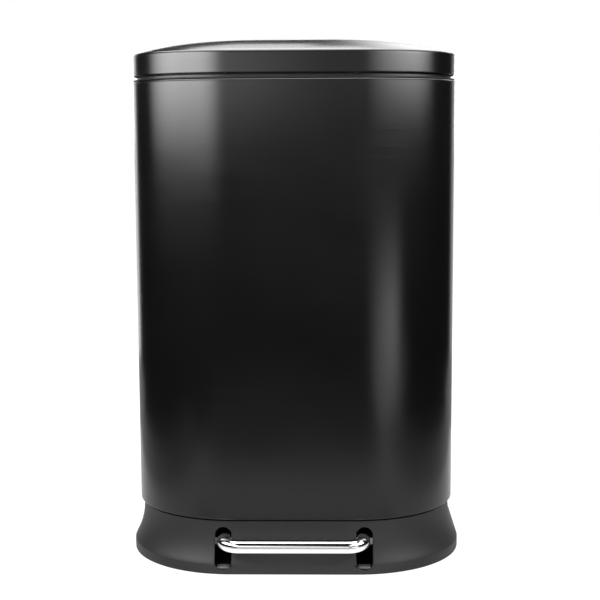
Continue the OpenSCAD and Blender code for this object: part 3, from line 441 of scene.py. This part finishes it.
# Keyed by material slot, and by CAD node or piece where one has a finish of its own.
finishes = {
    "black_steel": material("black_steel", grey(0.0012), grey(0.0022), (0.14, 0.25), COATING,
                            {"Grain Scale": 900.0, "Lines": 0.5}, 0.3, 0.0001),
    "black_plastic": material("black_plastic", grey(0.003), grey(0.006), (0.48, 0.56), SKIN,
                              {"Grain Scale": 1500.0}, 0.2, 0.0001),
    "dark_plastic": material("dark_plastic", grey(0.022), grey(0.034), (0.45, 0.6), SKIN,
                             {"Grain Scale": 1200.0}, 0.2, 0.0001),
    "bucket_plastic": material("bucket_plastic", grey(0.024), grey(0.036), (0.42, 0.55), SKIN,
                               {"Grain Scale": 700.0, "Clouds": 0.7}, 0.25, 0.0001),
    "chrome_tube": material("chrome_tube", grey(0.80), grey(0.90), (0.05, 0.09), LINES,
                            {"Across X": 60.0, "Across Y": 300.0, "Across Z": 300.0,
                             "Spangle": 0.2},
                            0.02, 0.00002, 1.0),
    "zinc_sheet": material("zinc_sheet", grey(0.40), grey(0.60), (0.32, 0.5), LINES,
                           {"Across X": 25.0, "Across Y": 500.0, "Across Z": 500.0,
                            "Spangle": 0.7},
                           0.08, 0.00005, 1.0),
    "screw_steel": material("screw_steel", grey(0.45), grey(0.62), (0.25, 0.4), LINES,
                            {"Across X": 900.0, "Across Y": 900.0, "Across Z": 900.0,
                             "Spangle": 0.2},
                            0.1, 0.00003, 1.0),
    "bright_steel": material("bright_steel", grey(0.55), grey(0.70), (0.16, 0.26), LINES,
                             {"Across X": 50.0, "Across Y": 1200.0, "Across Z": 50.0,
                              "Spangle": 0.1},
                             0.05, 0.00002, 1.0),
    "spring_steel": material("spring_steel", grey(0.10), grey(0.20), (0.3, 0.42), LINES,
                             {"Across X": 800.0, "Across Y": 800.0, "Across Z": 800.0,
                              "Spangle": 0.3},
                             0.08, 0.00003, 1.0),
    "dark_steel": material("dark_steel", grey(0.03), grey(0.05), (0.3, 0.4), COATING,
                           {"Grain Scale": 1500.0, "Lines": 0.2}, 0.1, 0.0001),
    "nylon": material("nylon", grey(0.62, 0.03), grey(0.74, 0.03), (0.4, 0.5), SKIN,
                      {"Grain Scale": 900.0}, 0.1, 0.0001),
    "rubber": material("rubber", grey(0.012), grey(0.02), (0.7, 0.85), SKIN,
                       {"Grain Scale": 900.0}, 0.4, 0.0002),
    "soft_grey": material("soft_grey", grey(0.010), grey(0.016), (0.65, 0.8), SKIN,
                          {"Grain Scale": 900.0}, 0.3, 0.0001),
    "top_ring": material("collar_plastic", grey(0.003), grey(0.006), (0.34, 0.42), SKIN,
                         {"Grain Scale": 1500.0}, 0.2, 0.0001, Specular_IOR_Level=0.4),
    "arm_stop": material("stop_rubber", grey(0.09), grey(0.12), (0.4, 0.5), SKIN,
                         {"Grain Scale": 1500.0}, 0.2, 0.0001),
}


def finish_for(node):
    """The node's own finish if it has one, or else that of its material slot."""
    return finishes.get(node) or finishes[slot_of[node]]


# ---------------------------------------------------------------- Outlines and heights

shell_low, shell_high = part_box("body_shell")
base_low, base_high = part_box("base_skirt")
ring_low, ring_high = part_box("top_ring")
lid_low, lid_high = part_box("lid_cover")
bucket_low, bucket_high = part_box("inner_bucket")
pedal_low, pedal_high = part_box("pedal_bar")

BEAD_OUT = 0.6        # The bead stands this far outside the sleeve, in millimetres.
can = Plan(shell_high.x - shell_low.x - 2 * BEAD_OUT * MM, shell_low.y + BEAD_OUT * MM,
           shell_high.y - BEAD_OUT * MM, 124 * MM, 60 * MM)
middle_y = (can.front + can.back) / 2
bucket = Plan(bucket_high.x - bucket_low.x, bucket_low.y, bucket_high.y, 113 * MM, 45 * MM)


# ---------------------------------------------------------------- Steel sleeve

def make_sleeve():
    """Sheet with a bead rolled outwards round its mouth and a hem rolled inwards at its foot."""
    foot, mouth = shell_low.z / MM, shell_high.z / MM
    sheet, roll = 0.8, 1.4
    bead_x, bead_z = BEAD_OUT - roll, mouth - roll
    profile = [(-sheet, foot + 12)]
    profile += arc(-roll, foot + roll, roll, 65, 350, 14)
    profile += [(0, foot + up) for up in (roll, 3, 6, 40)]
    profile += [(0, mouth - down) for down in (40, 8, 4, 2.3)]
    # The step under the bead, the bead's flat facet and its crown.
    profile += [(0.4, mouth - 2.15), (0.52, mouth - 1.95), (0.54, mouth - 1.5),
                (0.52, mouth - 1.3), (0.42, mouth - 1.16), (-0.55, mouth - 0.19),
                (-0.66, mouth - 0.1), (-0.9, mouth)]
    profile += arc(bead_x, bead_z, roll, 104, 236, 8)
    profile += [(-sheet, mouth - 12)]
    piece = carry_round("sleeve", can, profile)
    smooth(piece, 50)
    finish_piece(piece, "body_shell")
    seam_half, seam_proud, seam_sunk, seam_edge = 2.5, 0.15, 0.3, 0.13
    seam = bar("rear_seam", (-seam_half * MM, can.back - seam_sunk * MM, (foot + 4) * MM),
               (seam_half * MM, can.back + seam_proud * MM, (mouth - 6) * MM), seam_edge * MM)
    smooth(seam, 50)
    finish_piece(seam, "body_shell")


# ---------------------------------------------------------------- Moulded base

def make_base():
    """Flared moulding: an upright foot band, a groove under the sleeve, the register inside it."""
    edge = base_low.z / MM
    neck, wall, reach = 4.0, 2.5, 8.4
    band_top, neck_z, shoulder = 13.0, 58.0, 65.0
    flare, rise = neck + reach, neck_z - band_top
    flare_r = (flare ** 2 + rise ** 2) / (2 * flare)
    turn = math.degrees(math.asin(rise / flare_r))
    hollow = arc(flare_r - neck, neck_z, flare_r, 180 + turn, 180, 18)
    outside = [(reach, 1.0), (reach, 2.4), (reach, band_top - 2.0), (reach, band_top - 0.9),
               (reach - 0.15, band_top - 0.3)] + hollow[1:]
    inside = [(x - wall, z) for x, z in reversed(outside[1:])]
    profile = [(reach - 1.6, 0.0), (reach - 0.7, 0.0), (reach - 0.2, 0.3)] + outside
    # The neck's top, the groove, the register's outside and its inside.
    profile += [(-neck, shoulder - 3.2), (-neck, shoulder - 2.6), (-neck - 0.1, shoulder - 2.25),
                (-neck - 0.45, shoulder - 2.1), (-neck - 2.3, shoulder - 2.0),
                (-neck - 2.5, shoulder - 1.8), (-neck - 2.5, shoulder + 0.1),
                (-neck - 2.3, shoulder + 0.3), (-neck - 1.2, shoulder + 0.4),
                (-neck - 1.0, shoulder + 0.6), (-neck - 1.0, shoulder + 9.1),
                (-neck - 1.4, shoulder + 9.5), (-neck - 3.5, shoulder + 9.5),
                (-neck - 3.5, shoulder - wall), (-neck - wall, shoulder - wall - 1.0)]
    profile += inside + [(reach - wall, 0.3)]
    piece = carry_round("base", can, [(x, z + edge) for x, z in profile])
    let_go()
    slot_x, slot_half, slot_foot, slot_top = 85.5, 10, 5, 55
    for side in (-1, 1):
        slot = capsule("slot", (side * slot_x * MM - slot_half * MM, (edge + slot_foot) * MM),
                       (side * slot_x * MM + slot_half * MM, (edge + slot_top) * MM),
                       base_low.y - 5 * MM, can.front + 30 * MM, "Y")
        cut_away(piece, slot)
    take(piece)
    bpy.ops.object.mode_set(mode="EDIT")
    near_slot = 12.5

    def is_slot_mouth(part):
        """A sharp edge between the base's front and the wall of a slot."""
        at = middle(part)
        return ((slot_x - near_slot) * MM < abs(at.x) < (slot_x + near_slot) * MM
                and at.y < can.front + 12 * MM and at.z < (edge + slot_top + 2) * MM
                and (part.calc_face_angle(0) or 0) > math.radians(50)
                and any(face.normal.y < -0.5 for face in part.link_faces)
                and any(abs(face.normal.y) < 0.3 for face in part.link_faces))

    pick(is_slot_mouth, "EDGE")
    bpy.ops.mesh.bevel(offset=1.1 * MM, segments=4, affect="EDGES")
    let_go()
    smooth(piece, 35)
    weigh_normals(piece)
    finish_piece(piece, "base_skirt")
    plate_low, plate_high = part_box("base_plate")
    stop_half, stop_top = 8, 8.4
    stop = bar("arm_stop", ((slot_x - stop_half) * MM, plate_low.y + 0.3 * MM, plate_high.z),
               ((slot_x + stop_half) * MM, plate_low.y + 13 * MM, (edge + stop_top) * MM),
               1.4 * MM, 5)
    smooth(stop, 40)
    for side in (-1, 1):
        copy = bpy.data.objects.new("arm_stop", stop.data.copy())
        bpy.context.scene.collection.objects.link(copy)
        copy.data.transform(Matrix.Translation(((side - 1) * slot_x * MM, 0, 0)))
        finish_piece(copy, "base_skirt")
        copy.data.materials[0] = finishes["arm_stop"]
    bpy.data.objects.remove(stop, do_unlink=True)


def round_bar(name, x, y, low, high, radius):
    """An upright round bar or hole tool: a ring filled and extruded."""
    piece = start(name, bpy.ops.mesh.primitive_circle_add, vertices=40, radius=radius * MM,
                  fill_type="NGON", location=(x * MM, y * MM, low * MM))
    bpy.ops.mesh.select_all(action="SELECT")
    extrude((0, 0, (high - low) * MM))
    bpy.ops.mesh.select_all(action="SELECT")
    bpy.ops.mesh.normals_make_consistent(inside=False)
    let_go()
    return piece


# Where the posts for the base's screws stand, on the right and again on the left.
POSTS = ((140, -76.5), (158, 38.5), (100, 130.5))


def make_deck():
    """Deck across the base, under the floor pan, and the posts that its screws go into."""
    thick, inset, rod_hole_r, post_r = 3.0, 5.0, 5.2, 6.0
    low, top = base_high.z / MM - thick, base_high.z / MM
    piece = carry_round("deck", can, [(-inset, low), (-inset, top)], closed=False)
    for level in (low, top):
        fill_loop(lambda at: abs(at.z - level * MM) < 0.1 * MM)
    bpy.ops.mesh.select_all(action="SELECT")
    bpy.ops.mesh.normals_make_consistent(inside=False)
    bush_low, bush_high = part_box("rod_bush")
    rod = (bush_low + bush_high) / 2 / MM
    cut_away(piece, round_bar("hole", rod.x, rod.y, low - 5, top + 5, rod_hole_r))
    smooth(piece, 35)
    finish_piece(piece, "base_skirt")
    plate_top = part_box("base_plate")[1].z / MM
    first_x, first_y = POSTS[0]
    post = round_bar("post", first_x, first_y, plate_top, low + 0.1, post_r)
    apply(post, "BEVEL", width=0.5 * MM, segments=2, limit_method="ANGLE")
    smooth(post, 35)
    for x, y in POSTS:
        for side in (-1, 1):
            copy = bpy.data.objects.new("post", post.data.copy())
            bpy.context.scene.collection.objects.link(copy)
            copy.data.transform(Matrix.Translation(((side * x - first_x) * MM,
                                                    (y - first_y) * MM, 0)))
            finish_piece(copy, "base_skirt")
    bpy.data.objects.remove(post, do_unlink=True)


# ---------------------------------------------------------------- Collar between sleeve and lid

def make_collar():
    """Moulded ring that sits on the sleeve's mouth, with a notch behind for the lid's crank."""
    low, top = ring_low.z / MM, ring_high.z / MM
    mouth = shell_high.z / MM
    # Down inside the sleeve, out over the bead as a rounded flange, and back to the wall.
    profile = [(-2.5, low), (-2.5, mouth - 0.3), (-0.9, mouth + 0.1), (-0.4, mouth + 0.35),
               (-0.2, mouth + 0.8), (-0.4, mouth + 1.3), (-0.9, mouth + 1.6),
               (-4.8, mouth + 1.7), (-5.0, mouth + 1.9)]
    profile += arc(-5.8, top - 0.8, 0.8, 0, 90, 5)
    profile += arc(-8.2, top - 0.8, 0.8, 90, 180, 5)
    profile += [(-9.0, mouth - 2.5), (-4.6, mouth - 2.5), (-4.6, low)]
    piece = carry_round("collar", can, profile)
    notch_half = 12
    notch = bar("notch", (-notch_half * MM, can.back - 20 * MM, low * MM - MM),
                (notch_half * MM, can.back - 1.4 * MM, top * MM + MM), 0)
    cut_away(piece, notch)
    smooth(piece, 35)
    finish_piece(piece, "top_ring")


# ---------------------------------------------------------------- Lid

def dome_over(test, rise):
    """Draws the dome in from an open ring: each level is extruded, drawn in and lifted."""
    steps, power = 22, 3.8
    pick(lambda edge: edge.is_boundary and test(middle(edge)), "EDGE")
    share, height = 1.0, 0.0
    for i in range(1, steps + 1):
        next_share = 1 - (i / (steps + 1)) ** 1.3
        next_height = rise * (1 - next_share ** power)
        extrude((0, 0, next_height - height))
        factor = next_share / share
        bpy.ops.transform.resize(value=(factor, factor, 1), center_override=(0, middle_y, 0))
        share, height = next_share, next_height
    bpy.ops.mesh.edge_face_add()


def make_lid():
    """Pressed cover: a straight skirt, a rounded edge and a shallow dome."""
    low, high = lid_low.z / MM, lid_high.z / MM
    inset = 0.45
    sheet, edge_r, turn, dome = 0.8, 3.0, 66.0, 17.0
    skirt_top = high - dome
    drop = edge_r * (1 - math.sin(math.radians(turn)))
    centre_x, centre_z = -inset - edge_r, skirt_top - edge_r
    inner = arc(centre_x, centre_z, edge_r - sheet, turn, 0, 8)
    outer = arc(centre_x, centre_z, edge_r, 0, turn, 10)
    profile = inner + [(-inset - sheet, low + 3), (-inset - sheet, low + 0.4)]
    profile += arc(-inset - sheet / 2, low + 0.4, sheet / 2, 200, 340, 4)
    profile += [(-inset, low + 0.4), (-inset, low + 1.5), (-inset, low + 3),
                (-inset, centre_z - 2)] + outer
    piece = carry_round("lid_shell", can, profile, closed=False)
    out_level = outer[-1][1] * MM
    in_level = inner[0][1] * MM
    dome_over(lambda at: at.z > (out_level + in_level) / 2, (dome + drop) * MM)
    dome_over(lambda at: at.z < (out_level + in_level) / 2, (dome + drop) * MM)
    bpy.ops.mesh.select_all(action="SELECT")
    bpy.ops.mesh.normals_make_consistent(inside=False)
    let_go()
    notch_half, notch_deep, notch_high = 51, 12, 9
    notch = bar("notch", (-notch_half * MM, can.back - notch_deep * MM, lid_low.z - MM),
                (notch_half * MM, can.back + MM, lid_low.z + notch_high * MM), 0)
    cut_away(piece, notch)
    smooth(piece, 40)
    finish_piece(piece, "lid_cover")


# ---------------------------------------------------------------- Bucket

def make_bucket():
    """Lift-out bucket: leaning wall, floor on a foot ring, turned-down rim and two hand holes."""
    low, top = bucket_low.z / MM, bucket_high.z / MM
    wall, rim, lean, rim_d, foot = 2.2, 6.0, 20.0, 12.0, 6.0
    slope = lean / (top - low)

    def face(z):
        return -rim - lean + slope * (z - low)

    floor_top = low + foot + wall
    profile = [(face(floor_top) - wall - 9, floor_top)]
    profile += [(face(floor_top) - wall - 5, floor_top),
                (face(floor_top) - wall - 1.5, floor_top + 1.2),
                (face(floor_top + 5) - wall, floor_top + 5)]
    profile += [(face(floor_top + 12) - wall, floor_top + 12), (face(top - 40) - wall, top - 40),
                (face(top - 4) - wall, top - 4)]
    profile += arc(-rim - wall + 1.6, top - 1.6, 1.6, 180, 90, 4)
    profile += arc(-1.8, top - 1.8, 1.8, 90, 0, 5)
    profile += [(0, top - rim_d + 0.6), (-0.6, top - rim_d), (-wall + 0.6, top - rim_d),
                (-wall, top - rim_d + 0.6), (-wall, top - wall - 0.8),
                (-wall - 0.8, top - wall), (-rim + 0.4, top - wall), (-rim, top - wall - 0.6)]
    profile += [(face(z), z) for z in (top - 12, top - 40, low + 20, low + 1)]
    profile += [(face(low) - 0.8, low), (face(low) - wall + 0.5, low),
                (face(low) - wall, low + 0.6), (face(low + 4) - wall, low + foot - 1.0),
                (face(low + foot) - wall - 1.0, low + foot),
                (face(low + foot) - wall - 9, low + foot)]
    piece = carry_round("bucket", bucket, profile, closed=False, front_steps=24, rear_steps=16)
    fill_loop(lambda at: abs(at.z - floor_top * MM) < 0.2 * MM)
    fill_loop(lambda at: abs(at.z - (low + foot) * MM) < 0.2 * MM)
    bpy.ops.mesh.select_all(action="SELECT")
    bpy.ops.mesh.normals_make_consistent(inside=False)
    let_go()
    hole_y = (bucket.front + bucket.front_r + bucket.back - bucket.rear_r) / 2
    hole_half, hole_high, under_rim = 50, 24, 6
    hole_z = (top - rim_d - under_rim - hole_high) * MM
    for side in (-1, 1):
        near, far = sorted((side * (bucket.half - 27 * MM), side * (bucket.half + MM)))
        hole = capsule("hole", (hole_y - hole_half * MM, hole_z),
                       (hole_y + hole_half * MM, hole_z + hole_high * MM), near, far, "X")
        cut_away(piece, hole)
    smooth(piece, 40)
    finish_piece(piece, "inner_bucket")


# ---------------------------------------------------------------- Pedal tube

def bend_round(x, y):
    """Bends the tube by a quarter turn round an upright axis."""
    bpy.ops.mesh.spin(steps=18, angle=math.radians(90), center=(x, y, 0), axis=(0, 0, 1))


def make_pedal():
    """Chromed tube: two arms, two bends and the bar between them."""
    r, wall, bend = 8.0 * MM, 1.2 * MM, 20.0 * MM
    arm_x = pedal_high.x - r
    bar_y = pedal_low.y + r
    bar_z = (pedal_low.z + pedal_high.z) / 2
    end_y = pedal_high.y
    piece = start("pedal_tube", bpy.ops.mesh.primitive_circle_add, vertices=56, radius=r,
                  location=(arm_x, end_y, bar_z), rotation=(math.pi / 2, 0, 0))
    bpy.ops.mesh.select_all(action="SELECT")
    mouth = 2 * RUN_OUT
    arm = end_y - bar_y - bend - 3 * RUN_OUT
    for part in (mouth, arm, RUN_OUT):
        extrude((0, -part, 0))
    bend_round(arm_x - bend, bar_y + bend)
    straight(2 * (arm_x - bend), (-1, 0))
    bend_round(bend - arm_x, bar_y + bend)
    for part in (RUN_OUT, arm, mouth):
        extrude((0, part, 0))
    close_up()
    apply(piece, "SOLIDIFY", thickness=wall, offset=-1, use_even_offset=True)
    smooth(piece, 40)
    finish_piece(piece, "pedal_bar")


# ---------------------------------------------------------------- Camera

def make_camera():
    """Stands in front, lower than the lid, and looks slightly down and to the left."""
    down, left, roll = 0.128, 0.022, 0.005
    data = bpy.data.cameras.new("camera")
    data.sensor_width = 36
    data.lens = 78.13
    camera = bpy.data.objects.new("camera", data)
    bpy.context.scene.collection.objects.link(camera)
    camera.location = (0.0426, -1.6689, 0.5299)
    look = Euler((math.pi / 2 - down, 0, left)).to_matrix() @ Matrix.Rotation(-roll, 3, "Z")
    camera.rotation_euler = look.to_euler()
    bpy.context.scene.camera = camera


# ---------------------------------------------------------------- Studio

def glow_material(name, strength, feather):
    """A glow that fades out towards the left, right, lower and upper edges of its card."""
    mat = bpy.data.materials.new(name)
    mat.use_nodes = True
    tree = mat.node_tree
    tree.nodes.remove(tree.nodes["Principled BSDF"])
    glow = add_node(tree, "ShaderNodeEmission", Color=(1, 1, 1, 1))
    place = tree.nodes.new("ShaderNodeSeparateXYZ")
    tree.links.new(tree.nodes.new("ShaderNodeTexCoord").outputs["Generated"], place.inputs[0])
    level = strength
    for share, edge, socket in zip(feather, (0, 1, 0, 1), (0, 0, 1, 1)):
        if share:
            fade = tree.nodes.new("ShaderNodeMapRange")
            fade.interpolation_type = "SMOOTHSTEP"
            fade.inputs["From Min"].default_value = edge
            fade.inputs["From Max"].default_value = edge + (share if edge == 0 else -share)
            tree.links.new(place.outputs[socket], fade.inputs["Value"])
            level = calculate(tree, "MULTIPLY", fade.outputs[0], level)
    if level is strength:
        glow.inputs["Strength"].default_value = strength
    else:
        tree.links.new(level, glow.inputs["Strength"])
    tree.links.new(glow.outputs[0], tree.nodes["Material Output"].inputs["Surface"])
    return mat


def stage_plane(name, centre, size, turn, strength, feather):
    """A glowing plane round the bin that the camera doesn't see."""
    let_go()
    bpy.ops.mesh.primitive_plane_add(size=1, location=centre, rotation=turn)
    panel = bpy.context.active_object
    panel.name = name
    panel.scale = (*size, 1)
    panel.data.materials.append(glow_material(name, strength, feather))
    panel.visible_camera = False
    panel.visible_shadow = False
    return panel


def card(name, start_at, end_at, low, high, strength, feather=(0, 0, 0, 0), away=1.6):
    """An upright reflector between two bearings: 0 is the front, the right is positive."""
    ends = [Vector((math.sin(math.radians(turn)), -math.cos(math.radians(turn)), 0)) * away
            for turn in (start_at, end_at)]
    run = ends[1] - ends[0]
    centre = (ends[0] + ends[1]) / 2 + Vector((0, 0, (low + high) / 2))
    return stage_plane(name, centre, (run.length, high - low),
                       (math.pi / 2, 0, math.atan2(run.y, run.x)), strength, feather)


def sheet(name, low, high, height, strength, feather=(0, 0, 0, 0)):
    """A level reflector between two corners of the plan."""
    return stage_plane(name, ((low[0] + high[0]) / 2, (low[1] + high[1]) / 2, height),
                       (high[0] - low[0], high[1] - low[1]), (0, 0, 0), strength, feather)


# Name, the two bearings in degrees, low and high edge in metres, strength, the share of the card
# that fades at its left, right, lower and upper edge, and for one its distance.
CARDS = (
    ("left_box", -103, -6, 0.44, 1.12, 13.8, (0.45, 0.36, 0.4, 0.6)),
    ("left_high", -106, -17, 0.85, 1.5, 3.0, (0.3, 0.14, 0.3, 0.4)),
    ("front_left", -34, 6, 0.52, 0.88, 7.0, (0.15, 0.8, 0.35, 0.4)),
    ("left_fade", -27, -3, 0.48, 0.98, 1.9, (0.3, 0.35, 0.4, 0.4)),
    ("front", -14, 32, 0.44, 1.35, 2.8, (0.1, 0.3, 0.6, 0.2), 5.0),
    ("right_box", 8, 97, 0.57, 1.08, 14.5, (0.6, 0.42, 0.36, 0.55)),
    ("right_high", 5, 106, 0.80, 1.5, 3.0, (0.6, 0.22, 0.3, 0.4)),
    ("right_strip", 12, 57, 0.0, 0.36, 2.7, (0.7, 0.35, 0, 0.6)),
    ("back_right", 135, 180, 0.0, 0.9, 0.7, (0.3, 0, 0, 0.3)),
    ("back_right_top", 130, 180, 0.9, 1.9, 2.9, (0.3, 0.3, 0.2, 0)),
    ("back_horizon", 150, 210, 0.45, 0.95, 6.0, (0.2, 0.2, 0.2, 0.4)),
    ("back_left", 196, 226, 0.0, 1.2, 1.6, (0.5, 0.3, 0, 0.3)),
)
# Name, two corners of the plan and height in metres, strength, and shares that fade, as above.
SHEETS = (
    ("over_near", (-0.55, -0.52), (0.55, 0.36), 1.02, 7.0, (0.1, 0.1, 0.2, 0.1)),
    ("over_back", (-0.6, 0.6), (0.6, 2.2), 1.9, 2.8, (0.1, 0.1, 0, 0.1)),
    ("over_back_right", (0.3, 0.6), (1.6, 2.0), 1.88, 6.5, (0.1, 0, 0, 0)),
    ("floor_near", (-0.5, -0.65), (0.5, 0.6), 0.001, 0.88, (0, 0, 0, 0)),
    ("floor_foot", (-0.26, -0.34), (0.26, -0.155), 0.0015, 1.3, (0.1, 0.1, 0.5, 0)),
    ("floor_front", (-0.5, -1.5), (0.5, -0.65), 0.001, 0.18, (0, 0, 0.8, 0)),
    ("floor_front_right", (0.5, -1.6), (1.5, -0.65), 0.001, 1.3, (0, 0, 0, 0.3)),
    ("floor_right", (0.5, -0.65), (0.9, 0.6), 0.001, 0.4, (0, 0.5, 0, 0)),
    ("floor_left", (-0.9, -0.65), (-0.5, 0.6), 0.001, 0.38, (0.5, 0, 0, 0)),
    ("floor_back", (-1.0, 0.6), (1.0, 1.7), 0.001, 0.4, (0, 0, 0, 0)),
    ("floor_far", (-20.0, -20.0), (20.0, 20.0), 0.0005, 0.01, (0, 0, 0, 0)),
)


def make_studio():
    """A white backdrop and a bright floor to the camera, and a dark room to the bin."""
    room, floor_tone = 0.015, 0.1
    scene = bpy.context.scene
    scene.view_settings.view_transform = "Standard"
    world = bpy.data.worlds.new("studio")
    scene.world = world
    world.use_nodes = True
    tree = world.node_tree
    background = tree.nodes["Background"]
    path = tree.nodes.new("ShaderNodeLightPath")
    tone = tree.nodes.new("ShaderNodeMix")
    tone.data_type = "RGBA"
    tone.inputs[6].default_value = (room, room, room, 1)
    tone.inputs[7].default_value = (1, 1, 1, 1)
    tree.links.new(path.outputs["Is Camera Ray"], tone.inputs[0])
    tree.links.new(tone.outputs[2], background.inputs["Color"])
    let_go()
    bpy.ops.mesh.primitive_plane_add(size=40)
    floor = bpy.context.active_object
    floor.name = "floor"
    mat = bpy.data.materials.new("floor")
    mat.use_nodes = True
    shader = mat.node_tree.nodes["Principled BSDF"]
    shader.inputs["Base Color"].default_value = (floor_tone, floor_tone, floor_tone, 1)
    shader.inputs["Roughness"].default_value = 0.9
    shader.inputs["Specular IOR Level"].default_value = 0.0
    shader.inputs["Emission Color"].default_value = (1, 1, 1, 1)
    shader.inputs["Emission Strength"].default_value = 1.0
    floor.data.materials.append(mat)
    for values in CARDS:
        card(*values)
    for values in SHEETS:
        height = values[3]
        sheet(*values).visible_diffuse = height > 1  # Only the overhead ones light the floor.


make_camera()
make_studio()
make_sleeve()
make_base()
make_deck()
make_collar()
make_lid()
make_bucket()
make_pedal()
for node, rounding in (("hinge_housing", 0.6), ("lid_liner", 0.4), ("hinge_leaf", 0.3),
                       ("rubber_feet", 0.8), ("hinge_pin_caps", 0.5), ("base_plate", 0.3)):
    finer_copy(node, rounding * MM)
for node, piece in frame["nodes"].items():
    for slot in piece.material_slots:
        slot.material = finish_for(node)
let_go()
